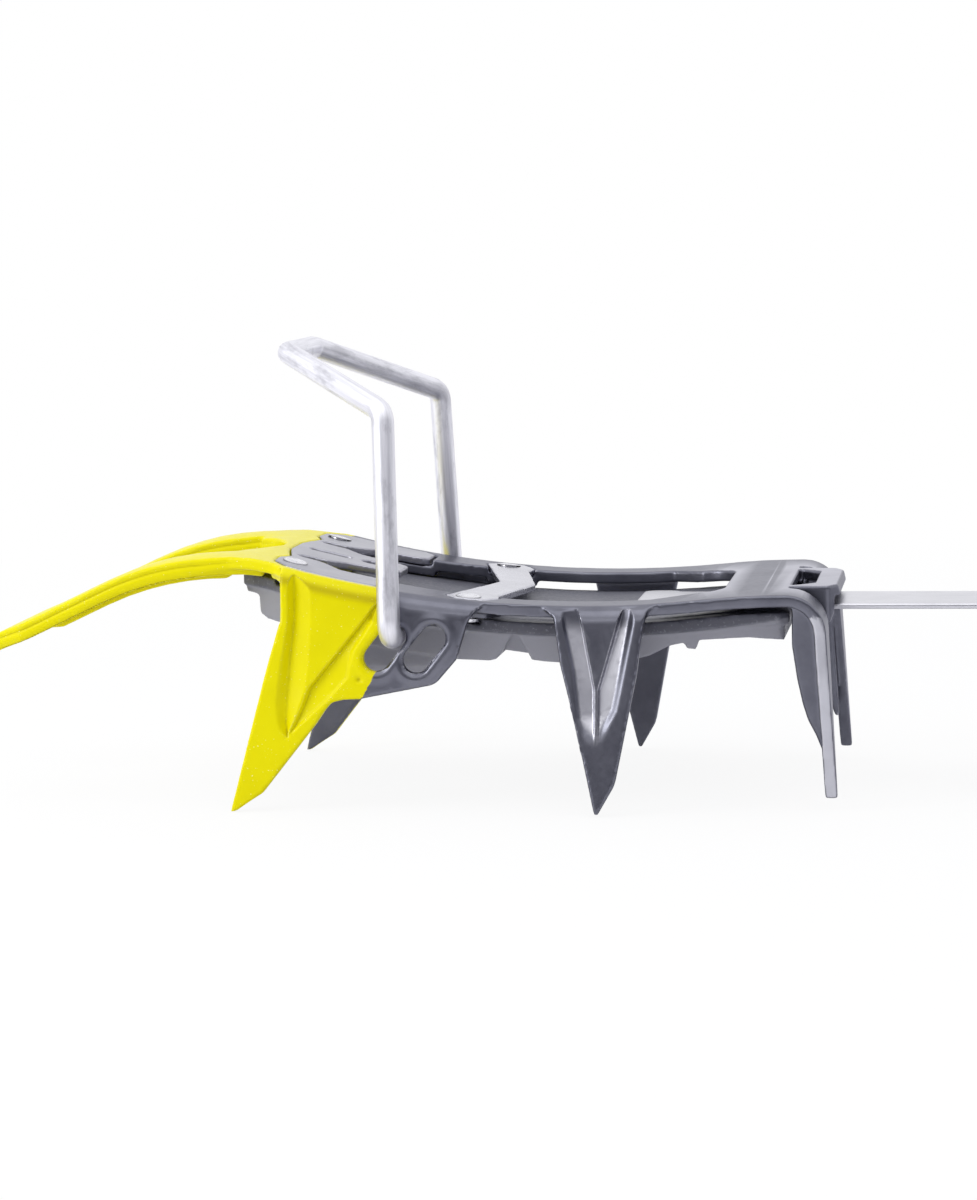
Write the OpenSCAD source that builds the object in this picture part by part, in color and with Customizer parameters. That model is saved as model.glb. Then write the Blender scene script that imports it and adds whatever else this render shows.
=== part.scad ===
// Mountaineering crampon for one boot: a stamped front section with a toe bail,
// a linking bar, and a heel section with a bail and an adjustable lever.
// +X runs from the front points to the heel, +Z is up, the points stand on Z = 0.

/* [Sheet steel] */
// Thickness of the stamped sheet of both frames
sheet_t = 2.7; // [2.4:0.1:3]
// Outer radius of the bend from the flat top into the side points
bend_r = 4.5; // [4:0.1:5.5]

/* [Sole line] */
// Height of the sole line above the ground at its lowest place
sole_z = 44.8; // [43:0.2:47]
// Radius of the sole line, which rises to the toe and to the instep
rocker_r = 260; // [240:5:300]
// Place of the lowest part of the sole line
rocker_x = -55.5; // [-58:0.5:-53]
// Radius with which the front points arch over
nose_r = 66; // [58:1:74]
// Slope of the front points towards the ground
nose_slope = 25; // [22:0.5:28]

/* [Front section] */
// Half width of the flat top, where the side bends start
flat_y = 38; // [36.5:0.5:40]
// Half width of the opening between the rails at the ball of the foot
gap_y = 29.5; // [28:0.5:31]
// Length of the front points from the toe plate to their tips
tip_len = 72; // [66:1:78]
// Distance between the centre lines of the two front points
tip_pitch = 49; // [46:0.5:52]
// Width of each front point at its root
tip_w = 14; // [12:0.5:16]
// Outward splay of the first pair of side points
side_splay = 3.5; // [1:0.5:6]
// Outward splay of the middle pair of side points
mid_splay = 10.5; // [7:0.5:13]
// Place of the tips of the middle pair
mid_x = -52.5; // [-55:0.5:-50]
// Height of the rear tips of the front section above the ground
rear_tip_z = 2.2; // [0.5:0.1:3.5]
// Radius of the rear bend, where each rail turns down into a point
tail_r = 8.7; // [7.5:0.1:10]

/* [Toe bail] */
// Diameter of the toe bail's wire
toe_wire_d = 5; // [4.5:0.1:5.3]
// Height of the toe bail's bends above its pivot
toe_leg_z = 49.5; // [45:0.5:54]
// Length of the arms that run forward from the bends
toe_arm_x = 26; // [22:0.5:30]
// Rise of these arms
toe_arm_z = 12; // [9:0.5:15]
// Length of the straight crossbar that grips the toe welt
toe_bar_y = 30; // [24:1:36]
// Width of the pivot slots in the ears
slot_w = 5.8; // [5.6:0.1:6.4]

/* [Linking bar] */
// Thickness of the linking bar
bar_t = 1.3; // [1.1:0.1:1.5]
// Width of the linking bar
bar_w = 25; // [22:0.5:27]
// Height of the linking bar's upper face
bar_z = 42.2; // [41.8:0.1:42.6]
// Distance between the holes for the length setting
hole_step = 6; // [5.5:0.5:7]
// Diameter of these holes
hole_d = 4.4; // [4:0.1:4.8]

/* [Heel section] */
// Half width of the heel frame's flat top
heel_y = 29; // [27:0.5:31]
// Length of the heel frame
heel_len = 88; // [84:1:92]
// Place of the heel frame's front edge at the stored length
heel_x = 66; // [64:0.5:68]
// Outward splay of the heel frame's side points
heel_splay = 8; // [5:0.5:10]
// Diameter of the heel bail's wire
heel_wire_d = 4.5; // [4:0.1:4.8]

/* [Heel lever] */
// Height of the lever's pivot above the ground
lever_z = 82; // [79:0.5:85]
// Width of the lever's body
lever_w = 30; // [28:0.5:32]
// Length of the lever's handle above the pivot
lever_len = 46; // [42:1:50]
// Lean of the closed lever towards the boot
lever_lean = 8; // [4:1:12]
// Diameter of the adjusting screw
screw_d = 5; // [4.6:0.1:5.2]
// Diameter of the thumbwheel
wheel_d = 15; // [14:0.5:16]

/* [Clearances] */
// Clearance round what slides or lies free
free_gap = 0.3; // [0.25:0.05:0.4]
// Clearance between riveted pieces
seat_gap = 0.1; // [0.08:0.01:0.15]
// Radial clearance of a turning fit
turn_gap = 0.06; // [0.03:0.01:0.09]

/* [Hidden] */
$fn = 48;

steel_grey = [0.42, 0.43, 0.5];
coat_yellow = [0.95, 0.9, 0.05];
wire_grey = [0.78, 0.78, 0.84];
plastic_grey = [0.3, 0.31, 0.36];

// Places along the sole line where its curve changes
nose_x = rocker_x - 66;
tail_x = rocker_x + 25.5;
flat_x = -11.5;
tip_x = nose_x - tip_len - 1.5;

// Height of the sheet's upper face along the sole line
function rocker_z(x) = sole_z + rocker_r - sqrt(rocker_r * rocker_r - (x - rocker_x) * (x - rocker_x));
function rocker_slope(x) = asin((x - rocker_x) / rocker_r);
nose_cx = nose_x + nose_r * sin(rocker_slope(nose_x));
nose_cz = rocker_z(nose_x) - nose_r * cos(rocker_slope(nose_x));
nose_end = nose_cx - nose_r * sin(nose_slope);
tail_rise = tan(rocker_slope(tail_x));
function arch_z(x) = nose_cz + sqrt(nose_r * nose_r - (x - nose_cx) * (x - nose_cx));
function tail_z(x) = rocker_z(tail_x) + tail_rise * (x - tail_x) * (1 - (x - tail_x) / (flat_x - tail_x) / 2);
function sole(x) =
    x < nose_end ? arch_z(nose_end) + (x - nose_end) * tan(nose_slope) :
    x < nose_x ? arch_z(x) :
    x < tail_x ? rocker_z(x) :
    x < flat_x ? tail_z(x) : tail_z(flat_x);

// Stations from a to b, at most step apart
function stations(a, b, step) = let (n = ceil((b - a) / step)) [for (i = [0:n]) a + (b - a) * i / n];

// Layer of a sheet between two heights over the sole line
module layer(hi, lo, a, b, step = 5) {
    xs = stations(a, b, step);
    across() polygon(concat(
        [for (x = xs) [x, sole(x) + hi]],
        [for (i = [len(xs) - 1:-1:0]) [xs[i], sole(xs[i]) + lo]]
    ));
}

// A section in Y and Z turned about the sole line's centre, so that it follows the rocker
module rocked(section) {
    translate([rocker_x, 0, sole_z + rocker_r]) rotate([-90, 0, 0]) rotate_extrude($fn = 240)
        polygon([for (p = section) [rocker_r - p[1], p[0]]]);
}

// Section of a side point with its bend; its root lies inside the flat top
function side_section(splay, depth, root_y, t) =
    let (
        c = [root_y, -bend_r],
        n = [cos(splay), sin(splay)],
        d = [sin(splay), -cos(splay)],
        inner_r = bend_r - t,
        arc = [for (i = [0:5]) 90 + (splay - 90) * i / 5]
    )
    concat(
        [[root_y - 3, -0.05]],
        [for (a = arc) c + bend_r * [cos(a), sin(a)]],
        [c + bend_r * n + depth * d, c + inner_r * n + depth * d],
        [for (i = [5:-1:0]) c + inner_r * [cos(arc[i]), sin(arc[i])]],
        [[root_y - 3, 0.05 - t]]
    );

// Extrudes an outline drawn in X and Z across the whole width
module across(y0 = -70, y1 = 70) {
    translate([0, y1, 0]) rotate([90, 0, 0]) linear_extrude(y1 - y0) children();
}

// Extrudes an outline drawn in Y and Z along the length
module along(x0, x1) {
    translate([x0, 0, 0]) rotate([90, 0, 90]) linear_extrude(x1 - x0) children();
}

// Repeats a piece on both sides of the boot
module both_sides() {
    children();
    mirror([0, 1, 0]) children();
}

// Closes half an outline with its mirror image across the middle plane
function both_halves(half) = concat(half, [for (i = [len(half) - 1:-1:0]) [half[i][0], -half[i][1]]]);

// Rounded slot between two points
module slot2(p, q, r) {
    translate(p) circle(r);
    translate(q) circle(r);
    a = atan2(q[1] - p[1], q[0] - p[0]);
    translate(p) rotate(a) translate([0, -r]) square([norm(q - p), 2 * r]);
}

// Toe bail pivot and the two slots of each ear
bail_x = -97.6;
bail_z = sole_z - 6.4;
slot_run = [-3.8, -4.8];
slot_pitch = 8.8;

module ear_slots() {
    for (i = [0:1]) {
        p = [bail_x + i * slot_pitch, bail_z - i * 0.4];
        slot2(p, p + slot_run, slot_w / 2);
    }
}

// First side point with the bail's ear behind it
module side_point_outline() {
    z = sole_z;
    difference() {
        polygon([
            [nose_x - 1.3, z + 20], [nose_x - 1.4, z - 3], [nose_x - 4.5, z - 13.4],
            [nose_x - 12.9, 0], [nose_x - 11.7, 0], [nose_x - 5.7, 3.8],
            [nose_x + 6.4, z - 25.8], [nose_x + 8.7, z - 22.4], [nose_x + 10.1, z - 20.9],
            [nose_x + 12.6, z - 20.3], [bail_x - 7.3, z - 20.1], [bail_x + 8.4, z - 17.1],
            [bail_x + 9.6, z - 16.5], [bail_x + 14, z - 11.5], [bail_x + 16.6, z - 3.2],
            [bail_x + 18, z - 1.1], [bail_x + 19.7, z], [bail_x + 22, z + 3]
        ]);
        ear_slots();
    }
}

// Middle side point, whose shoulders run out into the rail
module mid_point_outline() {
    z = sole_z;
    polygon([
        [mid_x - 14, z + 3], [mid_x - 12, z - 0.6], [mid_x - 9.6, z - 2.2], [mid_x - 8, z - 12.5],
        [mid_x - 4.6, z - 25.5], [mid_x - 0.3, 0], [mid_x + 0.3, 0], [mid_x + 3.8, 6],
        [mid_x + 4.3, 7.7], [mid_x + 8.8, z - 14.6], [mid_x + 10, z - 5], [mid_x + 11, z - 1.2],
        [mid_x + 13, z + 0.2], [mid_x + 15, z + 4]
    ]);
}

// Flutes that are stamped into the side points, deep at the bend and running out below;
// between the two of each point stands a wedge that narrows to a crest
flute_d = 1.5;
flute_end = 24.5;
crest_z = sole_z - 28;

module flutes(splay) {
    c = [flat_y, -bend_r];
    n = [cos(splay), sin(splay)];
    d = [sin(splay), -cos(splay)];
    face = c + bend_r * n;
    up = 6;
    deep = flute_d * (1 + up / flute_end);
    intersection() {
        rocked([face + flute_end * d, face - up * d - deep * n, face - up * d + 9 * n, face + flute_end * d + 9 * n]);
        across() children();
    }
}

module side_flutes() {
    foot = [nose_x - 0.2, crest_z];
    ridge = [nose_x + 4, sole_z - 18.4];
    z = sole_z;
    polygon([
        [nose_x - 1, z + 12], [nose_x - 1.2, z - 5.8], [nose_x - 3, z - 15], [nose_x - 3.3, z - 21.8],
        foot - [0.6, 0], ridge - [0.6, 0], [nose_x + 4.1, z - 12.5], [nose_x + 4.1, z + 12]
    ]);
    polygon([
        foot + [0.3, -0.4], ridge + [0.4, -0.4], [nose_x + 18.4, z - 0.6], [nose_x + 20, z - 3.4],
        [nose_x + 15.6, z - 9.6], [nose_x + 14.4, z - 15.4], [nose_x + 9.2, z - 20.6]
    ]);
}

module mid_flutes() {
    z = sole_z;
    polygon([
        [mid_x - 9.2, z + 4], [mid_x - 8.2, z - 5], [mid_x - 6.4, z - 13], [mid_x - 5.2, z - 22.6],
        [mid_x - 3.6, crest_z - 1.6], [mid_x - 0.5, crest_z - 1.6], [mid_x - 0.5, z - 18],
        [mid_x - 3.6, z - 5], [mid_x - 5.6, z + 4]
    ]);
    polygon([
        [mid_x + 9.2, z + 4], [mid_x + 8.4, z - 5], [mid_x + 7.4, z - 11], [mid_x + 5.6, z - 17],
        [mid_x + 4.2, z - 24], [mid_x + 1.6, crest_z - 1.6], [mid_x + 0.5, crest_z - 1.6],
        [mid_x + 0.5, z - 18], [mid_x + 3.6, z - 5], [mid_x + 5.6, z + 4]
    ]);
}

// Flat top of the front section before its rails' openings are cut
rail_y = flat_y + 1.5;
tail_y = flat_y + 0.5;
tip_y = tip_pitch / 2;

function front_outline() = both_halves([
    [flat_x, tail_y], [tail_x, tail_y + 0.6], [mid_x + 10, rail_y],
    [nose_x + 2, rail_y], [nose_x - 1.3, rail_y - 0.5], [nose_x - 4, rail_y - 3.5],
    [nose_x - 8, tip_y + tip_w / 2 + 3], [nose_x - 15, tip_y + tip_w / 2 + 0.6],
    [nose_x - 24, tip_y + tip_w / 2], [tip_x + 9, tip_y + tip_w * 0.36],
    [tip_x, tip_y + 1.2], [tip_x, tip_y - 1.2], [tip_x + 9, tip_y - tip_w * 0.36],
    [nose_x - 22, tip_y - tip_w / 2], [nose_x - 17, tip_y - tip_w / 2]
]);

// Edges of the cross members
front_cross_x = nose_x + 6.5;
toe_gap_y = 23;
rear_cross_x = -26.5;
rear_cross_w = 14.5;
rear_gap_y = 24;

module rail_opening() {
    polygon([
        [front_cross_x, -toe_gap_y + 5], [front_cross_x + 5, -toe_gap_y], [nose_x + 18, -toe_gap_y - 1.5],
        [mid_x - 22, -gap_y], [tail_x - 12, -gap_y], [rear_cross_x - 8, -rear_gap_y],
        [rear_cross_x - 8, rear_gap_y], [tail_x - 12, gap_y], [mid_x - 22, gap_y],
        [nose_x + 18, toe_gap_y + 1.5], [front_cross_x + 5, toe_gap_y], [front_cross_x, toe_gap_y - 5]
    ]);
    translate([rear_cross_x - 9, -rear_gap_y + 8]) square([9, 2 * rear_gap_y - 16]);
    for (s = [-1, 1]) translate([rear_cross_x - 8, s * (rear_gap_y - 8)]) circle(8);
}

// Slot between the rear cross member and the loop over the bar
loop_x = -6.5;
loop_w = 6;
loop_y = bar_w / 2 + 6.5;
loop_drop = 8.4;

// Places of the rivets of the toe plate and of the cross brace
finger_x = nose_x - 0.5;
finger_y = 27.5;
brace_x = -82;
brace_y = gap_y + 3.5;
rivet_r = 2.2;
head_r = 2.9;

// Stands a piece square on the sole line
module on_sole(x, y) {
    translate([x, y, sole(x)]) rotate([0, -rocker_slope(x), 0]) children();
}

module rivet_places() {
    for (s = [-1, 1]) {
        on_sole(finger_x, s * finger_y) children();
        on_sole(brace_x, s * brace_y) children();
    }
}

module rivet_hole() {
    translate([0, 0, -12]) cylinder(r = rivet_r + seat_gap, h = 24);
}

// Toe plate, which lies flush in a pressed seat: two riveted lobes, two fingers and a tongue
plate_t = 1.8;
plate_end = bail_x - 2;
plate_y = flat_y - 1.4;
tongue_x = nose_x + 20.5;
tongue_y = 7;

module toe_plate_plan() {
    difference() {
        polygon(both_halves([
            [nose_x - 5.6, 6], [nose_x - 4.6, 11.5], [nose_x - 3, 19], [nose_x - 4.8, 24],
            [nose_x - 4.4, 31], [nose_x - 1, plate_y - 1], [nose_x + 3, plate_y],
            [plate_end - 3, plate_y], [plate_end, plate_y - 3], [plate_end, toe_gap_y + 4],
            [plate_end - 2, toe_gap_y + 1.2], [nose_x + 9, toe_gap_y], [nose_x + 5, 18.5],
            [nose_x + 3, 17], [nose_x - 1.5, 16.5], [nose_x - 2.5, 15], [nose_x - 1.5, 13.5],
            [nose_x + 4, 13], [nose_x + 8, tongue_y + 2.5], [tongue_x - 3, tongue_y],
            [tongue_x - 0.8, tongue_y - 2]
        ]));
        slot2([nose_x - 1, 0], [nose_x + 6, 0], 1.6);
        slot2([nose_x + 12, 0], [tongue_x - 5, 0], 2.4);
    }
}

// Cross brace between the rails, a chevron that points to the heel
module brace_plan(grow = 0) {
    polygon(both_halves([
        [brace_x + 2.4 - grow, 0.5], [brace_x - 3.5 - grow, gap_y - 3], [brace_x - 5 - grow, brace_y],
        [brace_x - 2.5 - grow, brace_y + 3.4 + grow], [brace_x + 3.5 + grow, brace_y + 3.4 + grow],
        [brace_x + 6.4 + grow, brace_y - 2], [brace_x + 5.8 + grow, gap_y - 4], [brace_x + 10.6 + grow, 0.5]
    ]));
}

// Plan of the seats that are pressed into the frame for both plates
press_d = plate_t - 0.1;
module seat_plan(grow) {
    polygon(both_halves([
        [nose_x - 5.6 - grow, 6], [nose_x - 4.6 - grow, 11.5], [nose_x - 3 - grow, 19],
        [nose_x - 4.8 - grow, 24 - grow], [nose_x - 4.4 - grow, 31 + grow],
        [nose_x - 1 - grow, plate_y - 1 + grow], [nose_x + 3, plate_y + grow],
        [plate_end - 3 + grow, plate_y + grow], [plate_end + grow, plate_y - 3 + grow]
    ]));
    brace_plan(grow);
}

// Metal under the seats
module seat_floor() {
    intersection() {
        layer(-sheet_t + 0.4, -sheet_t - press_d + 0.3, nose_x - 10, -60);
        linear_extrude(120) intersection() {
            seat_plan(0.8);
            rail_area();
        }
    }
}

module rail_area() {
    difference() {
        translate([nose_x - 10, -flat_y]) square([flat_x - nose_x - 10, 2 * flat_y]);
        rail_opening();
    }
}

module front_top() {
    intersection() {
        layer(0, -sheet_t, tip_x, flat_x);
        linear_extrude(120) difference() {
            polygon(front_outline());
            translate([nose_x - 26, 0]) circle(d = tip_pitch - tip_w);
            rail_opening();
        }
    }
}

// Plan of a front point, drawn in from its edge
module point_plan(inset) {
    wide = tip_w / 2 - inset;
    narrow = tip_w * 0.36 - inset;
    polygon([
        [tip_x + 0.5 + 2 * inset, tip_y + 0.7], [tip_x + 9 + inset, tip_y + narrow],
        [nose_x - 24, tip_y + wide], [nose_x - 7, tip_y + wide], [nose_x - 7, tip_y - wide],
        [nose_x - 22, tip_y - wide], [tip_x + 9 + inset, tip_y - narrow], [tip_x + 0.5 + 2 * inset, tip_y - 0.7]
    ]);
}

// Under each front point: lips along its edges, and a rib in the middle that ends before the snow plate
lip_d = 4.2;
rib_d = 5.8;
module point_ribs() {
    root_x = nose_x - 7;
    rib_x = tip_x + 18.6;
    rib_end = snow_nose - 3;
    intersection() {
        layer(0.5 - sheet_t, -lip_d, tip_x, root_x);
        across() polygon([
            [tip_x, sole(tip_x) - 1.6], [tip_x + 3, sole(tip_x) - 3], [tip_x + 3, 0],
            [root_x - 6, 0], [root_x, sole(root_x) - sheet_t], [root_x, 90], [tip_x, 90]
        ]);
        linear_extrude(100) difference() {
            point_plan(0.2);
            point_plan(2.4);
        }
    }
    intersection() {
        layer(0.5 - sheet_t, -rib_d, tip_x + 6, root_x);
        across(tip_y - 1.8, tip_y + 1.8) polygon([
            [tip_x + 6, sole(tip_x + 6) - sheet_t], [rib_x - 4, sole(rib_x - 4) - lip_d],
            [rib_x, sole(rib_x) - rib_d], [rib_x, 0], [rib_end, 0], [rib_end, sole(rib_end) - rib_d],
            [rib_end + 2.4, sole(rib_end + 2.4) - lip_d], [root_x, sole(root_x) - sheet_t],
            [root_x, 90], [tip_x + 6, 90]
        ]);
    }
}

// Rear point, bent down across the rail
tail_tilt = 3.6;
rib_y = 26;
rib_w = 5;
module rear_rib() {
    top = tail_z(flat_x);
    across(rib_y, rib_y + rib_w) polygon([
        [flat_x, top - sheet_t + 0.5], [flat_x + 0.8, top - sheet_t - 2], [flat_x + 0.8, top - 12],
        [flat_x + 1.9, top - 19.5], [flat_x + 3.1, top - 25], [flat_x + 4.2, top - 28.5],
        [flat_x + 6, top - 32], [flat_x + 7.6, top - 36],
        [flat_x + 8.4, top - 36], [flat_x + 7, top - 9], [flat_x + 3, top - 1.5]
    ]);
}

module rear_point() {
    top = tail_z(flat_x);
    c = [flat_x, top - tail_r];
    down = top - tail_r - rear_tip_z + 1;
    n = [cos(tail_tilt), sin(tail_tilt)];
    d = [sin(tail_tilt), -cos(tail_tilt)];
    inner = tail_r - sheet_t;
    intersection() {
        across() polygon(concat(
            [[flat_x - 3, top - 0.05]],
            [for (i = [0:8]) let (a = 90 + (tail_tilt - 90) * i / 8) c + tail_r * [cos(a), sin(a)]],
            [c + tail_r * n + down * d, c + inner * n + down * d],
            [for (i = [8:-1:0]) let (a = 90 + (tail_tilt - 90) * i / 8) c + inner * [cos(a), sin(a)]],
            [[flat_x - 3, top - sheet_t + 0.05]]
        ));
        along(-40, 20) polygon([
            [rear_gap_y - 0.5, top + 9], [rear_gap_y - 0.5, top - 4], [rear_gap_y + 3, top - 14],
            [rear_gap_y + 8, top - 30], [tail_y - 1.8, rear_tip_z], [tail_y - 0.3, rear_tip_z],
            [tail_y + 0.2, top - 18], [tail_y, top - 9], [tail_y, top + 9]
        ]);
    }
}

// Bracket behind the cross member that carries the linking bar, with pointed cheeks
module bar_loop() {
    top = tail_z(flat_x);
    intersection() {
        along(flat_x - 1, loop_x + loop_w) difference() {
            translate([-loop_y, top - loop_drop]) square([2 * loop_y, loop_drop]);
            translate([-loop_y + sheet_t, top - loop_drop - 1])
                square([2 * (loop_y - sheet_t), loop_drop + 1 - sheet_t]);
        }
        across() polygon([
            [flat_x - 1, top + 1], [loop_x + loop_w - 1, top + 1], [loop_x + loop_w, top - 3],
            [loop_x + loop_w - 2.4, top - loop_drop], [loop_x + 1.6, top - loop_drop],
            [flat_x + 1, top - 4.5], [flat_x - 1, top - 4]
        ]);
        linear_extrude(100) polygon([
            [flat_x - 1, -loop_y], [loop_x + loop_w - 2.5, -loop_y], [loop_x + loop_w, 5 - loop_y],
            [loop_x + loop_w, loop_y - 5], [loop_x + loop_w - 2.5, loop_y], [flat_x - 1, loop_y],
            [flat_x - 1, loop_y - 1.2], [loop_x - 3.5, loop_y - 2.7], [loop_x, loop_y - 6.5],
            [loop_x, 6.5 - loop_y], [loop_x - 3.5, 2.7 - loop_y], [flat_x - 1, 1.2 - loop_y]
        ]);
    }
}

module front_frame() {
    color(coat_yellow) difference() {
        union() {
            front_top();
            seat_floor();
            both_sides() {
                point_ribs();
                intersection() {
                    rocked(side_section(side_splay, 70, flat_y, sheet_t));
                    across() side_point_outline();
                }
                intersection() {
                    rocked(side_section(mid_splay, 60, flat_y, sheet_t));
                    across() mid_point_outline();
                }
                rear_point();
                rear_rib();
            }
            bar_loop();
            both_sides() translate([rear_cross_x + rear_cross_w / 2, bar_w / 2 - 4, bar_z + free_gap])
                cylinder(r = 2.5, h = tail_z(flat_x) - sheet_t - bar_z);
        }
        intersection() {
            layer(1, -press_d, nose_x - 8, -60);
            linear_extrude(120) seat_plan(0.3);
        }
        both_sides() {
            flutes(side_splay) side_flutes();
            flutes(mid_splay) mid_flutes();
        }
        rivet_places() rivet_hole();
    }
}

module toe_plate() {
    color(steel_grey) difference() {
        intersection() {
            layer(plate_t - press_d, seat_gap - press_d, nose_x - 8, tongue_x + 1);
            linear_extrude(120) toe_plate_plan();
        }
        rivet_places() rivet_hole();
    }
}

module cross_brace() {
    color(steel_grey) difference() {
        intersection() {
            layer(plate_t - press_d, seat_gap - press_d, brace_x - 8, brace_x + 14);
            linear_extrude(120) brace_plan();
        }
        rivet_places() rivet_hole();
    }
}

// Rivet with a low dome on top and a flat closing head below
dome_r = 14;
module rivet(top, bottom) {
    translate([0, 0, bottom - 1]) {
        cylinder(r = rivet_r, h = top - bottom + 1.2);
        cylinder(r = rivet_r + 0.8, h = 1 - seat_gap);
    }
    translate([0, 0, top + seat_gap]) intersection() {
        translate([0, 0, 0.35 - dome_r]) sphere(r = dome_r, $fn = 96);
        cylinder(r = head_r, h = 1);
    }
}

module plate_rivets(x, y) {
    lean = cos(rocker_slope(x));
    color("silver") both_sides() on_sole(x, y)
        rivet((plate_t - press_d) * lean, (0.3 - sheet_t - press_d) * lean - 0.15);
}

module toe_rivets() {
    plate_rivets(finger_x, finger_y);
}

module brace_rivets() {
    plate_rivets(brace_x, brace_y);
}

// Unit vector
function unit(v) = v / norm(v);

// Replaces each inner corner of a route by an arc of the given radius
function arc_corner(a, b, c, r, n) =
    let (
        u = unit(a - b),
        v = unit(c - b),
        half = acos(u * v) / 2,
        d = r / tan(half),
        m = unit(u + v),
        centre = b + m * (r / sin(half)),
        s = b + u * d - centre,
        e = b + v * d - centre,
        turn = 180 - 2 * half
    )
    [for (i = [0:n]) let (t = turn * i / n) centre + (s * sin(turn - t) + e * sin(t)) / sin(turn)];

function rounded(route, r, n) = concat(
    [route[0]],
    [for (i = [1:len(route) - 2]) each arc_corner(route[i - 1], route[i], route[i + 1], r, n)],
    [route[len(route) - 1]]
);

// Round wire along a route, its rings carried without twist
module wire(route, d, sides = 16) {
    k = len(route);
    dirs = [for (i = [0:k - 1]) unit(route[min(i + 1, k - 1)] - route[max(i - 1, 0)])];
    side0 = unit(cross(dirs[0], [0.31, 0.17, 0.93]));
    normals = [for (i = 0, n = side0; i < k; i = i + 1,
        n = i < k ? unit(n - (n * dirs[i]) * dirs[i]) : n) n];
    polyhedron(
        points = [for (i = [0:k - 1]) let (n = normals[i], b = cross(dirs[i], n))
            for (j = [0:sides - 1]) let (a = 360 * j / sides)
            route[i] + d / 2 * (cos(a) * n + sin(a) * b)],
        faces = concat(
            [[for (j = [0:sides - 1]) j]],
            [[for (j = [sides - 1:-1:0]) (k - 1) * sides + j]],
            [for (i = [0:k - 2]) for (j = [0:sides - 1])
                let (j2 = (j + 1) % sides)
                [i * sides + j2, i * sides + j, (i + 1) * sides + j, (i + 1) * sides + j2]]
        ),
        convexity = 6
    );
}

// Toe bail in its ears
bail_y = flat_y + bend_r + 4.8;
bail_in = flat_y - 1.5;
foot_cut = 0.2;

module toe_bail() {
    lean = 6.5;
    top_y = bail_y - lean;
    top_x = bail_x - 1.5;
    top_z = bail_z + toe_leg_z;
    half = [
        [bail_x, bail_y - 4.7, bail_z], [bail_x, bail_y, bail_z], [top_x, top_y, top_z],
        [top_x - toe_arm_x, toe_bar_y / 2, top_z + toe_arm_z]
    ];
    far = [for (p = half) p];
    near = [for (i = [len(half) - 1:-1:0]) [half[i][0], -half[i][1], half[i][2]]];
    color(wire_grey) {
        wire(rounded(concat(far, near), 3.8, 5), toe_wire_d);
        both_sides() translate([bail_x, bail_in, bail_z]) rotate([-90, 0, 0])
            cylinder(d = toe_wire_d - foot_cut, h = bail_y - 4.4 - bail_in);
    }
}

// Soft plate under the front section that sheds the snow
snow_top = sheet_t + press_d - 0.3 + free_gap;
snow_y = flat_y - 4.5;
rim_top = 4.7;
rim_low = 7.4;
snow_nose = nose_x - 13.6;
valley_x = mid_x - 20;
pad_y = snow_y - 5;
pad_z = sole_z - 18.8;

module snow_plan(inset, front, back) {
    y = snow_y - inset;
    polygon(both_halves([
        [back, rear_gap_y + 5 - inset], [back - 2, rear_gap_y + 7 - inset], [back - 26, y],
        [front + 24, y], [front + 14, y - 2], [front + 3, 25 - inset], [front, 22 - inset]
    ]));
}

// Depths of the plate's underside below the sole line, from the toe to the instep
function snow_depths(back) = [
    [snow_nose + 0.6, 9], [snow_nose + 4, 9.2], [snow_nose + 4.2, 13.4], [snow_nose + 6, 14.4],
    [nose_x + 4, 14.6], [nose_x + 16, 14.6], [valley_x - 13, 14.6], [valley_x - 5.4, 14.2],
    [valley_x - 3.7, 13.6], [valley_x, rim_low + 0.3], [valley_x + 1.3, rim_low + 0.3],
    [valley_x + 4.2, 13.4], [mid_x - 9, 13.8], [mid_x + 3, 13.4], [mid_x + 8.4, 12.8],
    [mid_x + 10.4, 12.4], [mid_x + 14.9, 10.4], [mid_x + 21, 9.7], [mid_x + 32, 10.1], [back - 1, 11]
];

// Deep middle of the plate between the bail's ears, with sloping flanks
module snow_pad() {
    top = sole_z - 5;
    intersection() {
        across() polygon([
            [nose_x + 2, top], [nose_x + 9, pad_z], [bail_x + 2, pad_z], [bail_x + 9, pad_z + 8], [bail_x + 9, top]
        ]);
        along(nose_x, bail_x + 10) polygon([
            [-pad_y, top], [-pad_y, pad_z + 4], [4 - pad_y, pad_z],
            [pad_y - 4, pad_z], [pad_y, pad_z + 4], [pad_y, top]
        ]);
    }
}

// Sloping flank that fills the plate's valley towards the middle
module snow_core() {
    z = sole(valley_x);
    half = snow_y - 1.4;
    intersection() {
        across() polygon([
            [valley_x - 8, z - rim_low], [valley_x - 8, z - 11], [valley_x + 5, z - 13.2], [valley_x + 5, z - rim_low]
        ]);
        along(valley_x - 8, valley_x + 5) polygon([
            [-half, z - rim_low], [8 - half, z - 14], [half - 8, z - 14], [half, z - rim_low]
        ]);
    }
}

// Small catch under the plate's rear edge
module snow_lug() {
    lug_x = mid_x + 19.6;
    z = sole(lug_x);
    across(snow_y - 7, snow_y - 1.5) polygon([
        [lug_x - 1.8, z - 9], [lug_x - 1, z - 11.5], [lug_x + 1, z - 11.6], [lug_x + 1.8, z - 9]
    ]);
}

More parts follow.
